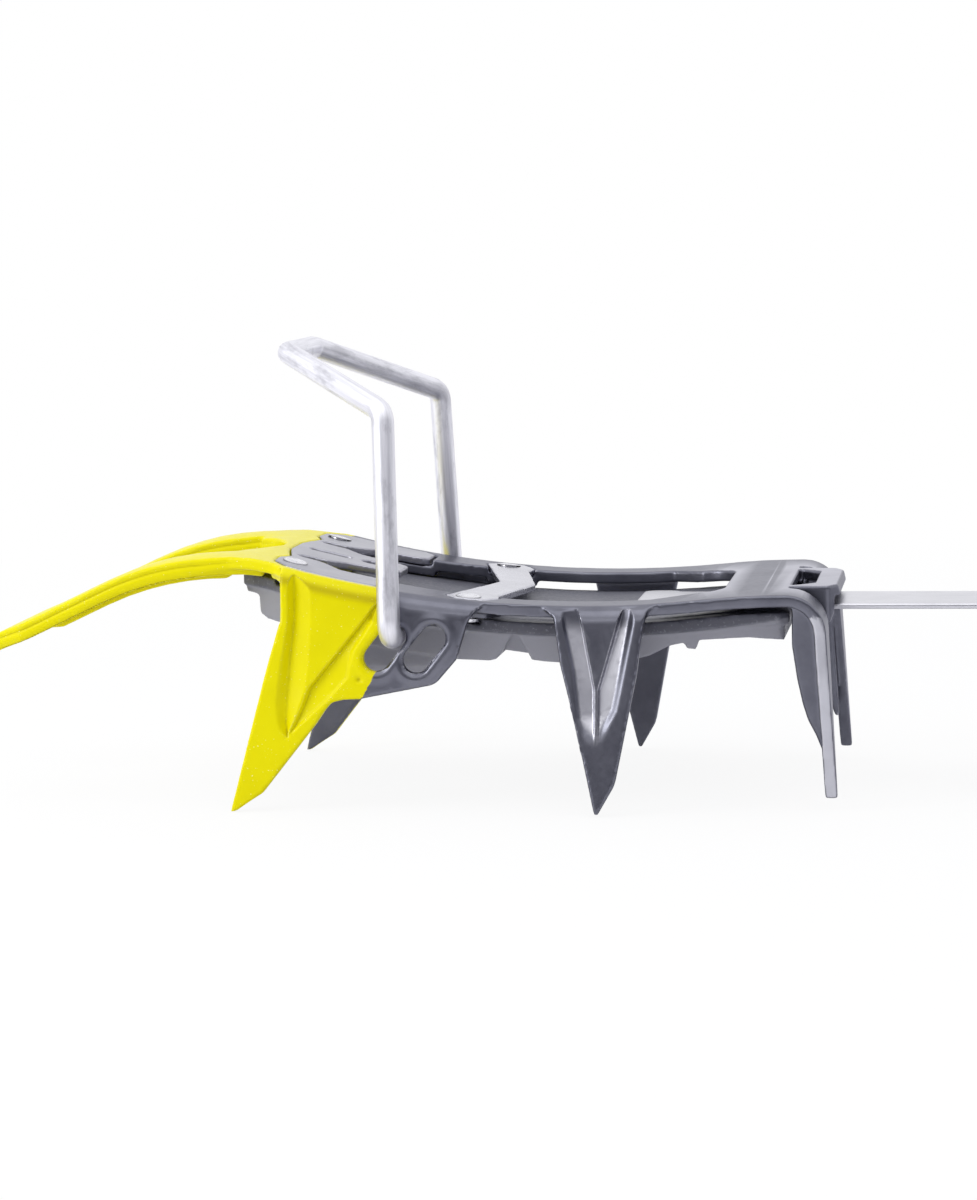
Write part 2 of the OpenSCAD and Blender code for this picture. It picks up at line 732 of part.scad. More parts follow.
module front_snow_plate() {
    pocket = bar_z - bar_t - free_gap;
    back = flat_x + 0.2;
    low = snow_depths(back);
    xs = stations(snow_nose + 0.6, back - 1, 5);
    color(plastic_grey) difference() {
        union() {
            intersection() {
                layer(-rim_top, -rim_low, snow_nose, back);
                linear_extrude(100) snow_plan(0, snow_nose, back);
            }
            intersection() {
                layer(-snow_top, -rim_top - 0.5, snow_nose + 5, back - 2);
                linear_extrude(100) snow_plan(5, snow_nose + 5, back - 2);
            }
            intersection() {
                across() polygon(concat(
                    [for (x = xs) [x, sole(x) + 0.6 - rim_low]],
                    [for (i = [len(low) - 1:-1:0]) [low[i][0], sole(low[i][0]) - low[i][1]]]
                ));
                linear_extrude(100) snow_plan(1, snow_nose, back);
            }
            snow_pad();
            snow_core();
            both_sides() snow_lug();
        }
        translate([bar_front - free_gap, -bar_w / 2 - 2.5 - free_gap, pocket])
            cube([60, bar_w + 5 + 2 * free_gap, 20]);
        rivet_places() translate([0, 0, -sheet_t - press_d - 1.6]) cylinder(r = rivet_r + 1.2, h = 12);
    }
}

// Linking bar with a broad head at the front and a row of holes
bar_front = -47.5;
bar_end = 132;
hole_x = 59;
hole_count = 10;

module linking_bar() {
    color(wire_grey) translate([0, 0, bar_z - bar_t]) linear_extrude(bar_t) difference() {
        union() {
            translate([bar_front + 3, -bar_w / 2]) square([bar_end - bar_front - 6, bar_w]);
            for (s = [-1, 1]) slot2([bar_front + 3, s * (bar_w / 2 - 0.5)], [bar_front + 6, s * (bar_w / 2 - 0.5)], 3);
            translate([bar_front, -bar_w / 2 + 1]) square([6, bar_w - 2]);
            translate([bar_end - 4, -bar_w / 2 + 4]) square([4, bar_w - 8]);
            for (s = [-1, 1]) translate([bar_end - 4, s * (bar_w / 2 - 4)]) circle(4);
        }
        for (i = [0:hole_count - 1]) translate([hole_x + i * hole_step, 0]) circle(d = hole_d);
    }
}

// Heel frame
heel_top = 47;
heel_end = heel_x + heel_len;
heel_tail_r = 8;
ear_x = heel_end - 30;
ear_z = heel_top - 9;
sleeve_y = bar_w / 2 + free_gap;

// Places of the sleeve's rivets, and the sink of their heads under the heel's seat
sleeve_t = 1.5;
sleeve_rivet_x = heel_x + 20;
sleeve_rivet_y = sleeve_y + sleeve_t + 3.3;
head_sink = 0.6;
window_a = heel_x + 34;
window_b = heel_end - 20;
window_y = heel_y - 10;

module heel_plan() {
    difference() {
        polygon([
            [heel_x, -bar_w / 2 - 5], [heel_x + 3, -bar_w / 2 - 8], [heel_x + 16, -heel_y - 1.5],
            [heel_end - 16, -heel_y - 1.5], [heel_end - 8, -heel_y + 1], [heel_end - 8, heel_y - 1],
            [heel_end - 16, heel_y + 1.5], [heel_x + 16, heel_y + 1.5], [heel_x + 3, bar_w / 2 + 8],
            [heel_x, bar_w / 2 + 5]
        ]);
        for (s = [-1, 1]) slot2([window_a + 4, s * (window_y - 4)], [window_b - 4, s * (window_y - 4)], 4);
        translate([window_a, 4 - window_y]) square([window_b - window_a, 2 * window_y - 8]);
        translate([stud_x, 0]) circle(4);
    }
}

module heel_side_outline() {
    a = heel_x + 18;
    polygon([
        [a - 4, heel_top + 3], [a - 1, heel_top - 3], [a, heel_top - 10], [a + 4, 12], [a + 7.4, 0],
        [a + 8, 0], [a + 14, 9], [a + 20, heel_top - 18], [a + 24, heel_top - 15],
        [ear_x - 10, heel_top - 15], [ear_x + 7, heel_top - 15.5], [ear_x + 11, heel_top - 11],
        [ear_x + 13, heel_top - 3], [ear_x + 15, heel_top + 3]
    ]);
}

function heel_section(splay, depth) = [for (p = side_section(splay, depth, heel_y, sheet_t)) [p[0], p[1] + heel_top]];

module heel_point() {
    x0 = heel_end - 9;
    tilt = 8;
    c = [x0, heel_top - heel_tail_r];
    down = (heel_top - heel_tail_r) / cos(tilt) + 1;
    n = [cos(tilt), sin(tilt)];
    d = [sin(tilt), -cos(tilt)];
    inner = heel_tail_r - sheet_t;
    intersection() {
        across() polygon(concat(
            [[x0 - 3, heel_top - 0.05]],
            [for (i = [0:8]) let (a = 90 + (tilt - 90) * i / 8) c + heel_tail_r * [cos(a), sin(a)]],
            [c + heel_tail_r * n + down * d, c + inner * n + down * d],
            [for (i = [8:-1:0]) let (a = 90 + (tilt - 90) * i / 8) c + inner * [cos(a), sin(a)]],
            [[x0 - 3, heel_top - sheet_t + 0.05]]
        ));
        along(heel_x, heel_x + 160) polygon([
            [sleeve_y + 1.4, heel_top + 5], [sleeve_y + 1.4, heel_top - 8], [16, heel_top - 16],
            [20, 12], [heel_y - 6.5, 0], [heel_y - 5.3, 0], [heel_y - 2, 12],
            [heel_y - 1, heel_top - 12], [heel_y - 1, heel_top + 5]
        ]);
    }
}

module heel_frame() {
    color(steel_grey) difference() {
        union() {
            translate([0, 0, heel_top - sheet_t]) linear_extrude(sheet_t) heel_plan();
            both_sides() {
                intersection() {
                    along(heel_x + 10, heel_end) polygon(heel_section(heel_splay, 70));
                    across() heel_side_outline();
                }
                heel_point();
            }
        }
        both_sides() for (i = [0:1]) translate([ear_x - i * 11, 0, ear_z]) rotate([-90, 0, 0])
            cylinder(d = heel_wire_d + 2 * turn_gap + 0.4, h = 70);
        for (s = [-1, 1]) translate([sleeve_rivet_x, s * sleeve_rivet_y, 0]) {
            translate([0, 0, 30]) cylinder(r = rivet_r + seat_gap, h = 30);
            translate([0, 0, heel_top - head_sink]) cylinder(r = head_r + seat_gap, h = 10);
        }
    }
}

// Folded sleeve under the heel frame, in which the bar slides
sleeve_x = heel_x + 1;
sleeve_len = 27;
sleeve_floor = bar_z - bar_t - free_gap - sleeve_t;
stud_x = hole_x + 3 * hole_step;
lock_x = heel_x + 4;
lock_z = sleeve_floor - 3.4;

module bar_sleeve() {
    color(steel_grey) difference() {
        union() {
            difference() {
                translate([sleeve_x, -sleeve_y - sleeve_t, sleeve_floor])
                    cube([sleeve_len, 2 * (sleeve_y + sleeve_t), heel_top - sheet_t - seat_gap - sleeve_floor]);
                translate([sleeve_x - 1, -sleeve_y, sleeve_floor + sleeve_t])
                    cube([sleeve_len + 2, 2 * sleeve_y, 20]);
            }
            both_sides() {
                translate([sleeve_x + 12, sleeve_y, heel_top - sheet_t - seat_gap - sleeve_t])
                    cube([14, 8, sleeve_t]);
                translate([lock_x - 2.8, sleeve_y - 5, lock_z - 2.8])
                    cube([5.6, sleeve_t, sleeve_floor - lock_z + 3.3]);
            }
        }
        linear_extrude(60) slot2([stud_x, 0], [stud_x + 1, 0], hole_d / 2 + 0.6);
        translate([lock_x, 30, lock_z]) rotate([90, 0, 0]) cylinder(r = 1.3, h = 60);
        for (s = [-1, 1]) translate([sleeve_rivet_x, s * sleeve_rivet_y, 30])
            cylinder(r = rivet_r + seat_gap, h = 30);
    }
}

module sleeve_rivets() {
    color("silver") both_sides() translate([sleeve_rivet_x, sleeve_rivet_y, 0])
        rivet(heel_top - head_sink, heel_top - sheet_t - sleeve_t - 2 * seat_gap);
}

// Lock lever under the sleeve; its tapered stud enters a hole of the bar
lock_open = 16;
module lock_lever() {
    w = 2 * (sleeve_y - 5 - free_gap);
    r = stud_x - lock_x;
    stud_r = hole_d / 2 - 0.4;
    stud_h = bar_z - lock_z - 0.2;
    color(steel_grey) translate([lock_x, 0, lock_z]) rotate([0, lock_open, 0]) difference() {
        union() {
            rotate([90, 0, 0]) translate([0, 0, -w / 2]) cylinder(r = 2.6, h = w);
            translate([0, -w / 2, -2.6]) cube([r + 8, w, 2]);
            translate([r + 8, 0, -2.6]) cylinder(r = w / 2, h = 2);
            translate([r, 0, 0]) rotate_extrude() polygon([
                [0, -1], [stud_r, -1], [stud_r, stud_h - bar_t - 0.2], [stud_r - 0.5, stud_h], [0, stud_h]
            ]);
        }
        rotate([90, 0, 0]) translate([0, 0, -30]) cylinder(r = 1.3 + turn_gap, h = 60);
    }
}

module lock_pin() {
    color("silver") translate([lock_x, 0, lock_z]) rotate([90, 0, 0])
        translate([0, 0, -sleeve_y + 2.6]) cylinder(r = 1.3 - 0.02, h = 2 * sleeve_y - 5.2);
}

// Soft plate under the heel section, with a channel for the bar and a raised panel
module heel_snow_plate() {
    z = heel_top - sheet_t - free_gap;
    a = sleeve_x + sleeve_len + 3;
    b = heel_end - 13;
    roof = z - bar_z - 0.4;
    color(plastic_grey) {
        translate([0, 0, z - roof]) linear_extrude(roof) polygon([
            [a, 5 - heel_y], [b - 4, 5 - heel_y], [b, 9 - heel_y], [b, heel_y - 9],
            [b - 4, heel_y - 5], [a, heel_y - 5]
        ]);
        both_sides() translate([0, 0, z - 8]) linear_extrude(8) polygon([
            [a, sleeve_y + 0.7], [b, sleeve_y + 0.7], [b, heel_y - 9], [b - 4, heel_y - 5], [a, heel_y - 5]
        ]);
        translate([0, 0, z - 0.5]) linear_extrude(sheet_t + 0.3) difference() {
            translate([window_a + 2, -window_y + 1]) square([window_b - window_a - 4, 2 * window_y - 2]);
            for (i = [0:3]) slot2([window_a + 8 + i * 7.5, -8], [window_a + 8 + i * 7.5, 8], 1.4);
        }
    }
}

// Heel bail, whose crossbar carries the lever
lever_back = 56.25;
lever_x = ear_x + lever_back;
crossbar_y = 40;
heel_bail_y = heel_y + bend_r + 6.2;

module heel_bail() {
    half = [
        [ear_x, heel_bail_y - 5.3, ear_z], [ear_x, heel_bail_y, ear_z],
        [lever_x, crossbar_y / 2, lever_z]
    ];
    near = [for (i = [len(half) - 1:-1:0]) [half[i][0], -half[i][1], half[i][2]]];
    color(wire_grey) {
        wire(rounded(concat(half, near), 3.8, 5), heel_wire_d);
        both_sides() translate([ear_x, heel_y - 1.5, ear_z]) rotate([-90, 0, 0])
            cylinder(d = heel_wire_d - foot_cut, h = heel_bail_y - 5 - heel_y + 1.5);
    }
}

// Places a piece in the frame of the closed lever, with the crossbar as its origin
module on_lever() {
    translate([lever_x, 0, lever_z]) rotate([0, -lever_lean, 0]) children();
}

screw_x = heel_wire_d / 2 + screw_d / 2 + 2.2;
block_y = 7.5;
travel = 4;
block_h = 9;
wall_lo = -block_h / 2 - travel - free_gap;
wall_hi = block_h / 2 + travel + free_gap;
wheel_h = 5;
wheel_lo = wall_hi + 2;

module screw_block() {
    color("goldenrod") on_lever() difference() {
        translate([-heel_wire_d / 2 - 2, -block_y, -block_h / 2])
            cube([screw_x + screw_d / 2 + heel_wire_d / 2 + 4, 2 * block_y, block_h]);
        rotate([90, 0, 0]) translate([0, 0, -20]) cylinder(d = heel_wire_d + 2 * turn_gap, h = 40);
        translate([screw_x, 0, -20]) cylinder(d = screw_d + 2 * turn_gap, h = 40);
    }
}

module adjusting_screw() {
    color("silver") on_lever() translate([screw_x, 0, 0]) {
        translate([0, 0, wall_lo - 3]) cylinder(d = screw_d, h = wheel_lo + wheel_h + 3 - wall_lo + 3);
    }
}

module thumbwheel() {
    color("dimgray") on_lever() translate([screw_x, 0, wheel_lo + free_gap]) difference() {
        cylinder(d = wheel_d, h = wheel_h - 2 * free_gap);
        translate([0, 0, -1]) cylinder(d = screw_d, h = wheel_h + 2);
        for (i = [0:17]) rotate(i * 20) translate([wheel_d / 2 + 0.5, 0, -1]) cylinder(r = 0.9, h = wheel_h + 2, $fn = 16);
    }
}

module heel_lever() {
    front = -heel_wire_d / 2 - 4;
    back = screw_x + screw_d / 2 + 4;
    lo = wall_lo - 4.5;
    hi = wheel_lo + wheel_h + 4;
    color(plastic_grey) on_lever() difference() {
        intersection() {
            across(-lever_w / 2, lever_w / 2) polygon([
                [front + 1, lo], [back - 2, lo], [back, lo + 3], [back, hi - 6], [back - 3, hi + 2],
                [back - 4.5, lever_len - 10], [back - 1, lever_len - 3], [back + 1.5, lever_len],
                [back - 2, lever_len], [back - 6.5, lever_len - 5], [back - 10.5, lever_len - 12],
                [front + 2, hi], [front, hi - 5], [front, lo + 1]
            ]);
            along(-40, 60) polygon([
                [-lever_w / 2 + 2, lo], [lever_w / 2 - 2, lo], [lever_w / 2, lo + 4], [lever_w / 2, hi - 6],
                [lever_w / 2 - 4, hi + 3], [lever_w / 2 - 5, lever_len - 4], [lever_w / 2 - 8, lever_len],
                [-lever_w / 2 + 8, lever_len], [-lever_w / 2 + 5, lever_len - 4], [-lever_w / 2 + 4, hi + 3],
                [-lever_w / 2, hi - 6], [-lever_w / 2, lo + 4]
            ]);
        }
        translate([-30, -block_y - free_gap, wall_lo]) cube([60, 2 * block_y + 2 * free_gap, wall_hi - wall_lo]);
        across() slot2([0, -travel], [0, travel], heel_wire_d / 2 + free_gap);
        translate([screw_x, 0, wall_lo - 3 - free_gap]) cylinder(d = screw_d + 2 * turn_gap, h = wheel_lo + wheel_h + 6.6 - wall_lo);
        translate([screw_x - wheel_d / 2 - 0.6, -wheel_d / 2 - 0.6, wheel_lo]) cube([40, wheel_d + 1.2, wheel_h]);
        both_sides() translate([hook_rivet_x, lever_w / 2 - 4, lo - 1]) cylinder(r = 1.5 + seat_gap, h = 7);
    }
}

hook_rivet_x = 3;
module welt_hook() {
    lo = wall_lo - 4.5 - seat_gap;
    front = -heel_wire_d / 2 - 4;
    color(steel_grey) on_lever() difference() {
        intersection() {
            across(-lever_w / 2 + 1.5, lever_w / 2 - 1.5) polygon([
                [front - 9, lo - 6], [front - 7, lo - 6.6], [front - 6, lo - 2.2], [back_hook(), lo - 2],
                [back_hook(), lo], [front - 8, lo]
            ]);
            translate([0, 0, lo - 20]) linear_extrude(40) polygon([
                [front - 12, -9], [front - 4, -lever_w / 2 + 1], [20, -lever_w / 2 + 1], [20, lever_w / 2 - 1],
                [front - 4, lever_w / 2 - 1], [front - 12, 9]
            ]);
        }
        both_sides() translate([hook_rivet_x, lever_w / 2 - 4, lo - 20]) cylinder(r = 1.5 + seat_gap, h = 30);
    }
}
function back_hook() = screw_x + screw_d / 2;

module hook_rivets() {
    lo = wall_lo - 4.5;
    color("silver") on_lever() both_sides() translate([hook_rivet_x, lever_w / 2 - 4, 0]) {
        translate([0, 0, lo - 3]) cylinder(r = 1.5, h = 8.5);
        translate([0, 0, lo - 3.2]) cylinder(r = 2.6, h = 1);
    }
}

front_frame();
toe_plate();
toe_rivets();
cross_brace();
brace_rivets();
toe_bail();
front_snow_plate();
linking_bar();
heel_frame();
bar_sleeve();
sleeve_rivets();
lock_lever();
lock_pin();
heel_snow_plate();
heel_bail();
screw_block();
adjusting_screw();
thumbwheel();
heel_lever();
welt_hook();
hook_rivets();
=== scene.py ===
import math

import bpy
import numpy as np
from mathutils import Matrix, Vector


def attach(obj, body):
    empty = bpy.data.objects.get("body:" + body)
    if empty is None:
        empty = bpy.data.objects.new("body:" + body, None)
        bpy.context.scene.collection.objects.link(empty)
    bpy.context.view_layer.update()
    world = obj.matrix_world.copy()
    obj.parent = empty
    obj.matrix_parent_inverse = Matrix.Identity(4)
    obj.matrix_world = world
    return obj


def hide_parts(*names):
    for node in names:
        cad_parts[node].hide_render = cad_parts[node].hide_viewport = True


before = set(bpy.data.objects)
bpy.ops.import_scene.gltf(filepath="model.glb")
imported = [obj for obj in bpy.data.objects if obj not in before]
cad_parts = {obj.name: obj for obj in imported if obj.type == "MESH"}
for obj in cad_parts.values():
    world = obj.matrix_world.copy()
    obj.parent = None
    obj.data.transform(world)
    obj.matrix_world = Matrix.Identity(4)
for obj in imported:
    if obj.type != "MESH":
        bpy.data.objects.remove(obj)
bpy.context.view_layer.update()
scene = bpy.context.scene

# The camera stands low in front of the crampon's right side, where the front section
# fills the picture and the linking bar runs out of it.
camera_data = bpy.data.cameras.new("camera")
camera_data.sensor_fit = "VERTICAL"
camera_data.sensor_height = 36.0
camera_data.lens = 108.57
camera_data.clip_start = 0.05
camera = bpy.data.objects.new("camera", camera_data)
scene.collection.objects.link(camera)
yaw, pitch, roll = math.radians(-8.23), math.radians(6.47), math.radians(-1.04)
ahead = Vector((math.sin(yaw), math.cos(yaw), 0))
aside = Vector((math.cos(yaw), -math.sin(yaw), 0))
upright = Vector((0, 0, 1))
gaze = ahead * math.cos(pitch) - upright * math.sin(pitch)
top = ahead * math.sin(pitch) + upright * math.cos(pitch)
right = aside * math.cos(roll) + top * math.sin(roll)
head = -aside * math.sin(roll) + top * math.cos(roll)
camera.matrix_world = Matrix.Translation((0.0365, -0.8214, 0.1358)) @ Matrix(
    (right, head, -gaze)
).transposed().to_4x4()
scene.camera = camera

# The studio: a wide softbox overhead, weaker ones at the left and in front, and a world
# that is white above, behind and to the left of the crampon and dim elsewhere.
scene.view_settings.view_transform = "Standard"


def softbox(name, place, aim, width, depth, power):
    data = bpy.data.lights.new(name, "AREA")
    data.shape = "RECTANGLE"
    data.size, data.size_y = width, depth
    data.energy = power
    lamp = bpy.data.objects.new(name, data)
    scene.collection.objects.link(lamp)
    lamp.location = place
    lamp.rotation_euler = (Vector(aim) - Vector(place)).to_track_quat("-Z", "Y").to_euler()


softbox("overhead", (-0.1, -0.2, 0.9), (-0.05, 0, 0.03), 0.9, 0.6, 1.3)
softbox("left", (-0.75, -0.45, 0.4), (-0.05, 0, 0.03), 0.4, 0.5, 2.3)
softbox("front", (0.05, -0.85, 0.62), (-0.05, 0, 0.03), 0.7, 0.25, 0.45)

world = bpy.data.worlds.new("studio")
scene.world = world
world.use_nodes = True
nodes, links = world.node_tree.nodes, world.node_tree.links
nodes.clear()
direction = nodes.new("ShaderNodeTexCoord")
lean = nodes.new("ShaderNodeVectorMath")
lean.operation = "DOT_PRODUCT"
lean.inputs[1].default_value = (-0.3, 0.55, 0.78)
links.new(direction.outputs["Generated"], lean.inputs[0])
depth = nodes.new("ShaderNodeMapRange")
depth.interpolation_type = "SMOOTHSTEP"
depth.inputs["From Min"].default_value = -0.4
depth.inputs["From Max"].default_value = 0.15
links.new(lean.outputs["Value"], depth.inputs["Value"])
wall = nodes.new("ShaderNodeMix")
wall.data_type = "RGBA"
wall.inputs["A"].default_value = (0.2, 0.2, 0.23, 1)
wall.inputs["B"].default_value = (0.98, 0.98, 1.0, 1)
links.new(depth.outputs["Result"], wall.inputs["Factor"])
ray = nodes.new("ShaderNodeLightPath")
shown = nodes.new("ShaderNodeMix")
shown.data_type = "RGBA"
shown.inputs["B"].default_value = (1, 1, 1, 1)
links.new(ray.outputs["Is Camera Ray"], shown.inputs["Factor"])
links.new(wall.outputs["Result"], shown.inputs["A"])
sky = nodes.new("ShaderNodeBackground")
links.new(shown.outputs["Result"], sky.inputs["Color"])
world_out = nodes.new("ShaderNodeOutputWorld")
links.new(sky.outputs[0], world_out.inputs[0])

# The floor is a pale sheet that keeps only a faint shadow under the points.
bpy.ops.mesh.primitive_plane_add(size=6, location=(0, 0, -0.0004))
floor = bpy.context.object
floor.name = "studio_floor"
paper = bpy.data.materials.new("floor_paper")
paper.use_nodes = True
nodes, links = paper.node_tree.nodes, paper.node_tree.links
matt = nodes["Principled BSDF"]
matt.inputs["Base Color"].default_value = (0.86, 0.86, 0.88, 1)
matt.inputs["Roughness"].default_value = 0.9
matt.inputs["Specular IOR Level"].default_value = 0.1
glow = nodes.new("ShaderNodeEmission")
glow.inputs["Color"].default_value = (1, 1, 1, 1)
ray = nodes.new("ShaderNodeLightPath")
place = nodes.new("ShaderNodeTexCoord")
reach = nodes.new("ShaderNodeVectorMath")
reach.operation = "LENGTH"
links.new(place.outputs["Object"], reach.inputs[0])
far = nodes.new("ShaderNodeMapRange")
far.inputs["From Min"].default_value = 0.25
far.inputs["From Max"].default_value = 0.6
far.inputs["To Min"].default_value = 0.9
far.inputs["To Max"].default_value = 1.0
links.new(reach.outputs["Value"], far.inputs["Value"])
share = nodes.new("ShaderNodeMath")
share.operation = "MULTIPLY"
links.new(far.outputs["Result"], share.inputs[1])
links.new(ray.outputs["Is Camera Ray"], share.inputs[0])
blend = nodes.new("ShaderNodeMixShader")
links.new(share.outputs[0], blend.inputs[0])
links.new(matt.outputs[0], blend.inputs[1])
links.new(glow.outputs[0], blend.inputs[2])
links.new(blend.outputs[0], nodes["Material Output"].inputs["Surface"])
floor.data.materials.append(paper)

# Front frame: one sheet of 2.7 mm chromoly steel, cut, stamped with stiffening flutes
# and bent down into the points. The front of it is powder coated in lemon yellow.
MM = 0.001


def only(piece):
    """Makes this object the only selected one."""
    bpy.ops.object.select_all(action="DESELECT")
    piece.select_set(True)
    bpy.context.view_layer.objects.active = piece


def from_solid(name, node):
    """A piece that starts as the welded copy of a solid of the frame."""
    piece = bpy.data.objects.new(name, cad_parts[node].data.copy())
    scene.collection.objects.link(piece)
    piece.data.materials.clear()
    only(piece)
    bpy.ops.object.mode_set(mode="EDIT")
    bpy.ops.mesh.select_all(action="SELECT")
    bpy.ops.mesh.remove_doubles(threshold=1e-6)
    bpy.ops.object.mode_set(mode="OBJECT")
    return piece


def apply(piece, kind, **settings):
    """Adds a modifier and applies it."""
    only(piece)
    modifier = piece.modifiers.new(kind.lower(), kind)
    for key, value in settings.items():
        setattr(modifier, key, value)
    bpy.ops.object.modifier_apply(modifier=modifier.name)


def ramp(x, low, high):
    """Smooth step from 0 at low to 1 at high."""
    t = np.clip((x - low) / (high - low), 0, 1)
    return t * t * (3 - 2 * t)


def points_of(piece):
    """The piece's points in millimetres."""
    flat = np.empty(len(piece.data.vertices) * 3)
    piece.data.vertices.foreach_get("co", flat)
    return flat.reshape(-1, 3) / MM


def move_points(piece, co):
    piece.data.vertices.foreach_set("co", (co * MM).ravel())
    piece.data.update()


def normals_of(piece):
    flat = np.empty(len(piece.data.vertices) * 3)
    piece.data.vertex_normals.foreach_get("vector", flat)
    return flat.reshape(-1, 3)


def mark(piece, name, value):
    """Keeps a number for each point, which the piece's finish reads."""
    layer = piece.data.attributes.new(name, "FLOAT", "POINT")
    layer.data.foreach_set("value", value.astype(np.float32))


def mark_wear_and_painted_light(piece):
    """Marks how sharply each point stands out or sinks in, for the rubbed edges of the finish, and
    for painted shade in hollows and painted highlights on edges.
    """
    co, n = points_of(piece), normals_of(piece)
    ends = np.empty(len(piece.data.edges) * 2, dtype=np.int64)
    piece.data.edges.foreach_get("vertices", ends)
    a, b = ends.reshape(-1, 2).T
    along = co[b] - co[a]
    size = np.linalg.norm(along, axis=1) + 1e-6
    bend = np.zeros(len(co))
    count = np.zeros(len(co))
    for start, sign in ((a, -1.0), (b, 1.0)):
        np.add.at(bend, start, sign * np.einsum("ij,ij->i", along, n[start]) / size)
        np.add.at(count, start, 1)
    mark(piece, "wear_and_painted_light", np.clip(bend / np.maximum(count, 1), -1, 1))


def rounded_form(name, node, voxel, smooth=2, most=60000):
    """A solid's form with its edges softened as by deburring or moulding."""
    piece = from_solid(name, node)
    apply(piece, "REMESH", mode="VOXEL", voxel_size=voxel * 1 * MM)
    apply(piece, "SMOOTH", factor=0.5, iterations=smooth)
    faces = sum(len(face.vertices) - 2 for face in piece.data.polygons)
    apply(piece, "DECIMATE", decimate_type="COLLAPSE", ratio=min(1.0, most / faces))
    return piece


def smooth_faces(piece):
    """Smooth shading that the broad faces lead."""
    only(piece)
    bpy.ops.object.shade_smooth()
    apply(piece, "WEIGHTED_NORMAL", mode="FACE_AREA", weight=60)


def dress(piece, material, node, body):
    """Gives a finished piece its material and its body, and hides the solid of its node."""
    piece.data.materials.clear()
    piece.data.materials.append(material)
    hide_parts(node)
    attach(piece, body)


SOLE_X, SOLE_Z, SOLE_R = -55.5, 44.8, 260.0
FLAT_Y, BEND_R = 38.0, 4.5
NOSE_X, NOSE_R = -121.5, 66.0
NOSE_SLOPE, ROOT_SLOPE = math.radians(25), math.asin((NOSE_X - SOLE_X) / SOLE_R)
TIP_Y, TIP_X = 24.5, -195.0
FIRST_SPLAY, MIDDLE_SPLAY = 3.5, 10.5
MIDDLE_X = -52.5
HINGE_X, HINGE_Z, SLOT_PITCH, SLOT_DROP = -97.6, 38.4, 8.8, 0.4


def sole_height(x):
    """Height of the sheet's top along the crampon, from the tips to the instep."""
    rocker = SOLE_Z + SOLE_R - np.sqrt(SOLE_R**2 - (np.clip(x, NOSE_X, -11.5) - SOLE_X) ** 2)
    root_z = SOLE_Z + SOLE_R - math.sqrt(SOLE_R**2 - (NOSE_X - SOLE_X) ** 2)
    centre_x = NOSE_X + NOSE_R * math.sin(ROOT_SLOPE)
    centre_z = root_z - NOSE_R * math.cos(ROOT_SLOPE)
    end = centre_x - NOSE_R * math.sin(NOSE_SLOPE)
    arch = centre_z + np.sqrt(NOSE_R**2 - (np.clip(x, end, NOSE_X) - centre_x) ** 2)
    arch += np.minimum(x - end, 0) * math.tan(NOSE_SLOPE)
    return np.where(x < NOSE_X, arch, rocker)


def outer_face(x, z, splay):
    """Half width of a side point's outer face, without and with its bend."""
    below = SOLE_R - np.hypot(x - SOLE_X, SOLE_Z + SOLE_R - z)
    s = math.radians(splay)
    flat = FLAT_Y + (BEND_R - (below + BEND_R) * math.sin(s)) / math.cos(s)
    bend = FLAT_Y + np.sqrt(np.clip(BEND_R**2 - (below + BEND_R) ** 2, 0, None))
    bent = np.where(below > BEND_R * (math.sin(s) - 1), bend, flat)
    return flat, bent, below


def first_flutes(x, z):
    """Depth, painted highlight and area of a first side point's flutes, beside their wedge."""
    rim = np.interp(z, [16, 17.6, 19.5, 23.9, 31, 41.6, 50],
                    [-121.6, -122.9, -123.8, -124.2, -123.3, -121.3, -121.2])
    valley = np.interp(z, [16, 19.5, 23.9, 31, 41.6, 50],
                       [-121.4, -121.8, -121.6, -121.0, -119.8, -119.7])
    ridge = np.interp(z, [16, 17.4, 22.1, 27.3, 32.4, 38, 50],
                      [-121.5, -121.1, -118.9, -116.8, -116.0, -115.6, -115.3])
    crest = np.interp(z, [16, 17.4, 22.1, 27.3, 33.8, 40.5, 44.3, 50],
                      [-121.5, -121.1, -118.8, -116.7, -111.3, -105.8, -102.7, -98])
    low = np.interp(z, [16.8, 24.2, 29.4, 35.2, 41.4, 44.2, 50],
                    [-120.4, -112.2, -107.3, -106.1, -101.9, -101.0, -97])
    fade = 0.65 * ramp(z, 15.4, 17.2) + 0.35 * np.clip((z - 17) / 12, 0, 1)
    floor_rise = np.clip((x - valley) / np.maximum(ridge - valley, 0.2), 0, 1)
    front = np.where(x < valley, 1.9 * ramp(x, rim, valley), 1.9 - 2.1 * floor_rise)
    front = np.where(x < ridge, front * fade, 0)
    floor_rise = np.clip((x - crest) / np.maximum(low - crest, 0.3), 0, 1)
    rear = ramp(x, crest + 0.05, crest + 0.9) * (1.6 - 1.2 * floor_rise)
    rear *= 1 - ramp(x, low - 1.2, low)
    rear = np.where(x > crest, rear * fade, 0)
    inside = (x > np.maximum(rim - 1.4, rim_line(z) + 0.55)) & (x < low + 0.3)
    return front + rear, 0 * x, inside & (z > 14.5)


def rim_line(z):
    """Front outline of a first side point."""
    return np.interp(z, [0, 31.4, 41.8, 64.8], [-134.4, -126, -122.9, -122.8])


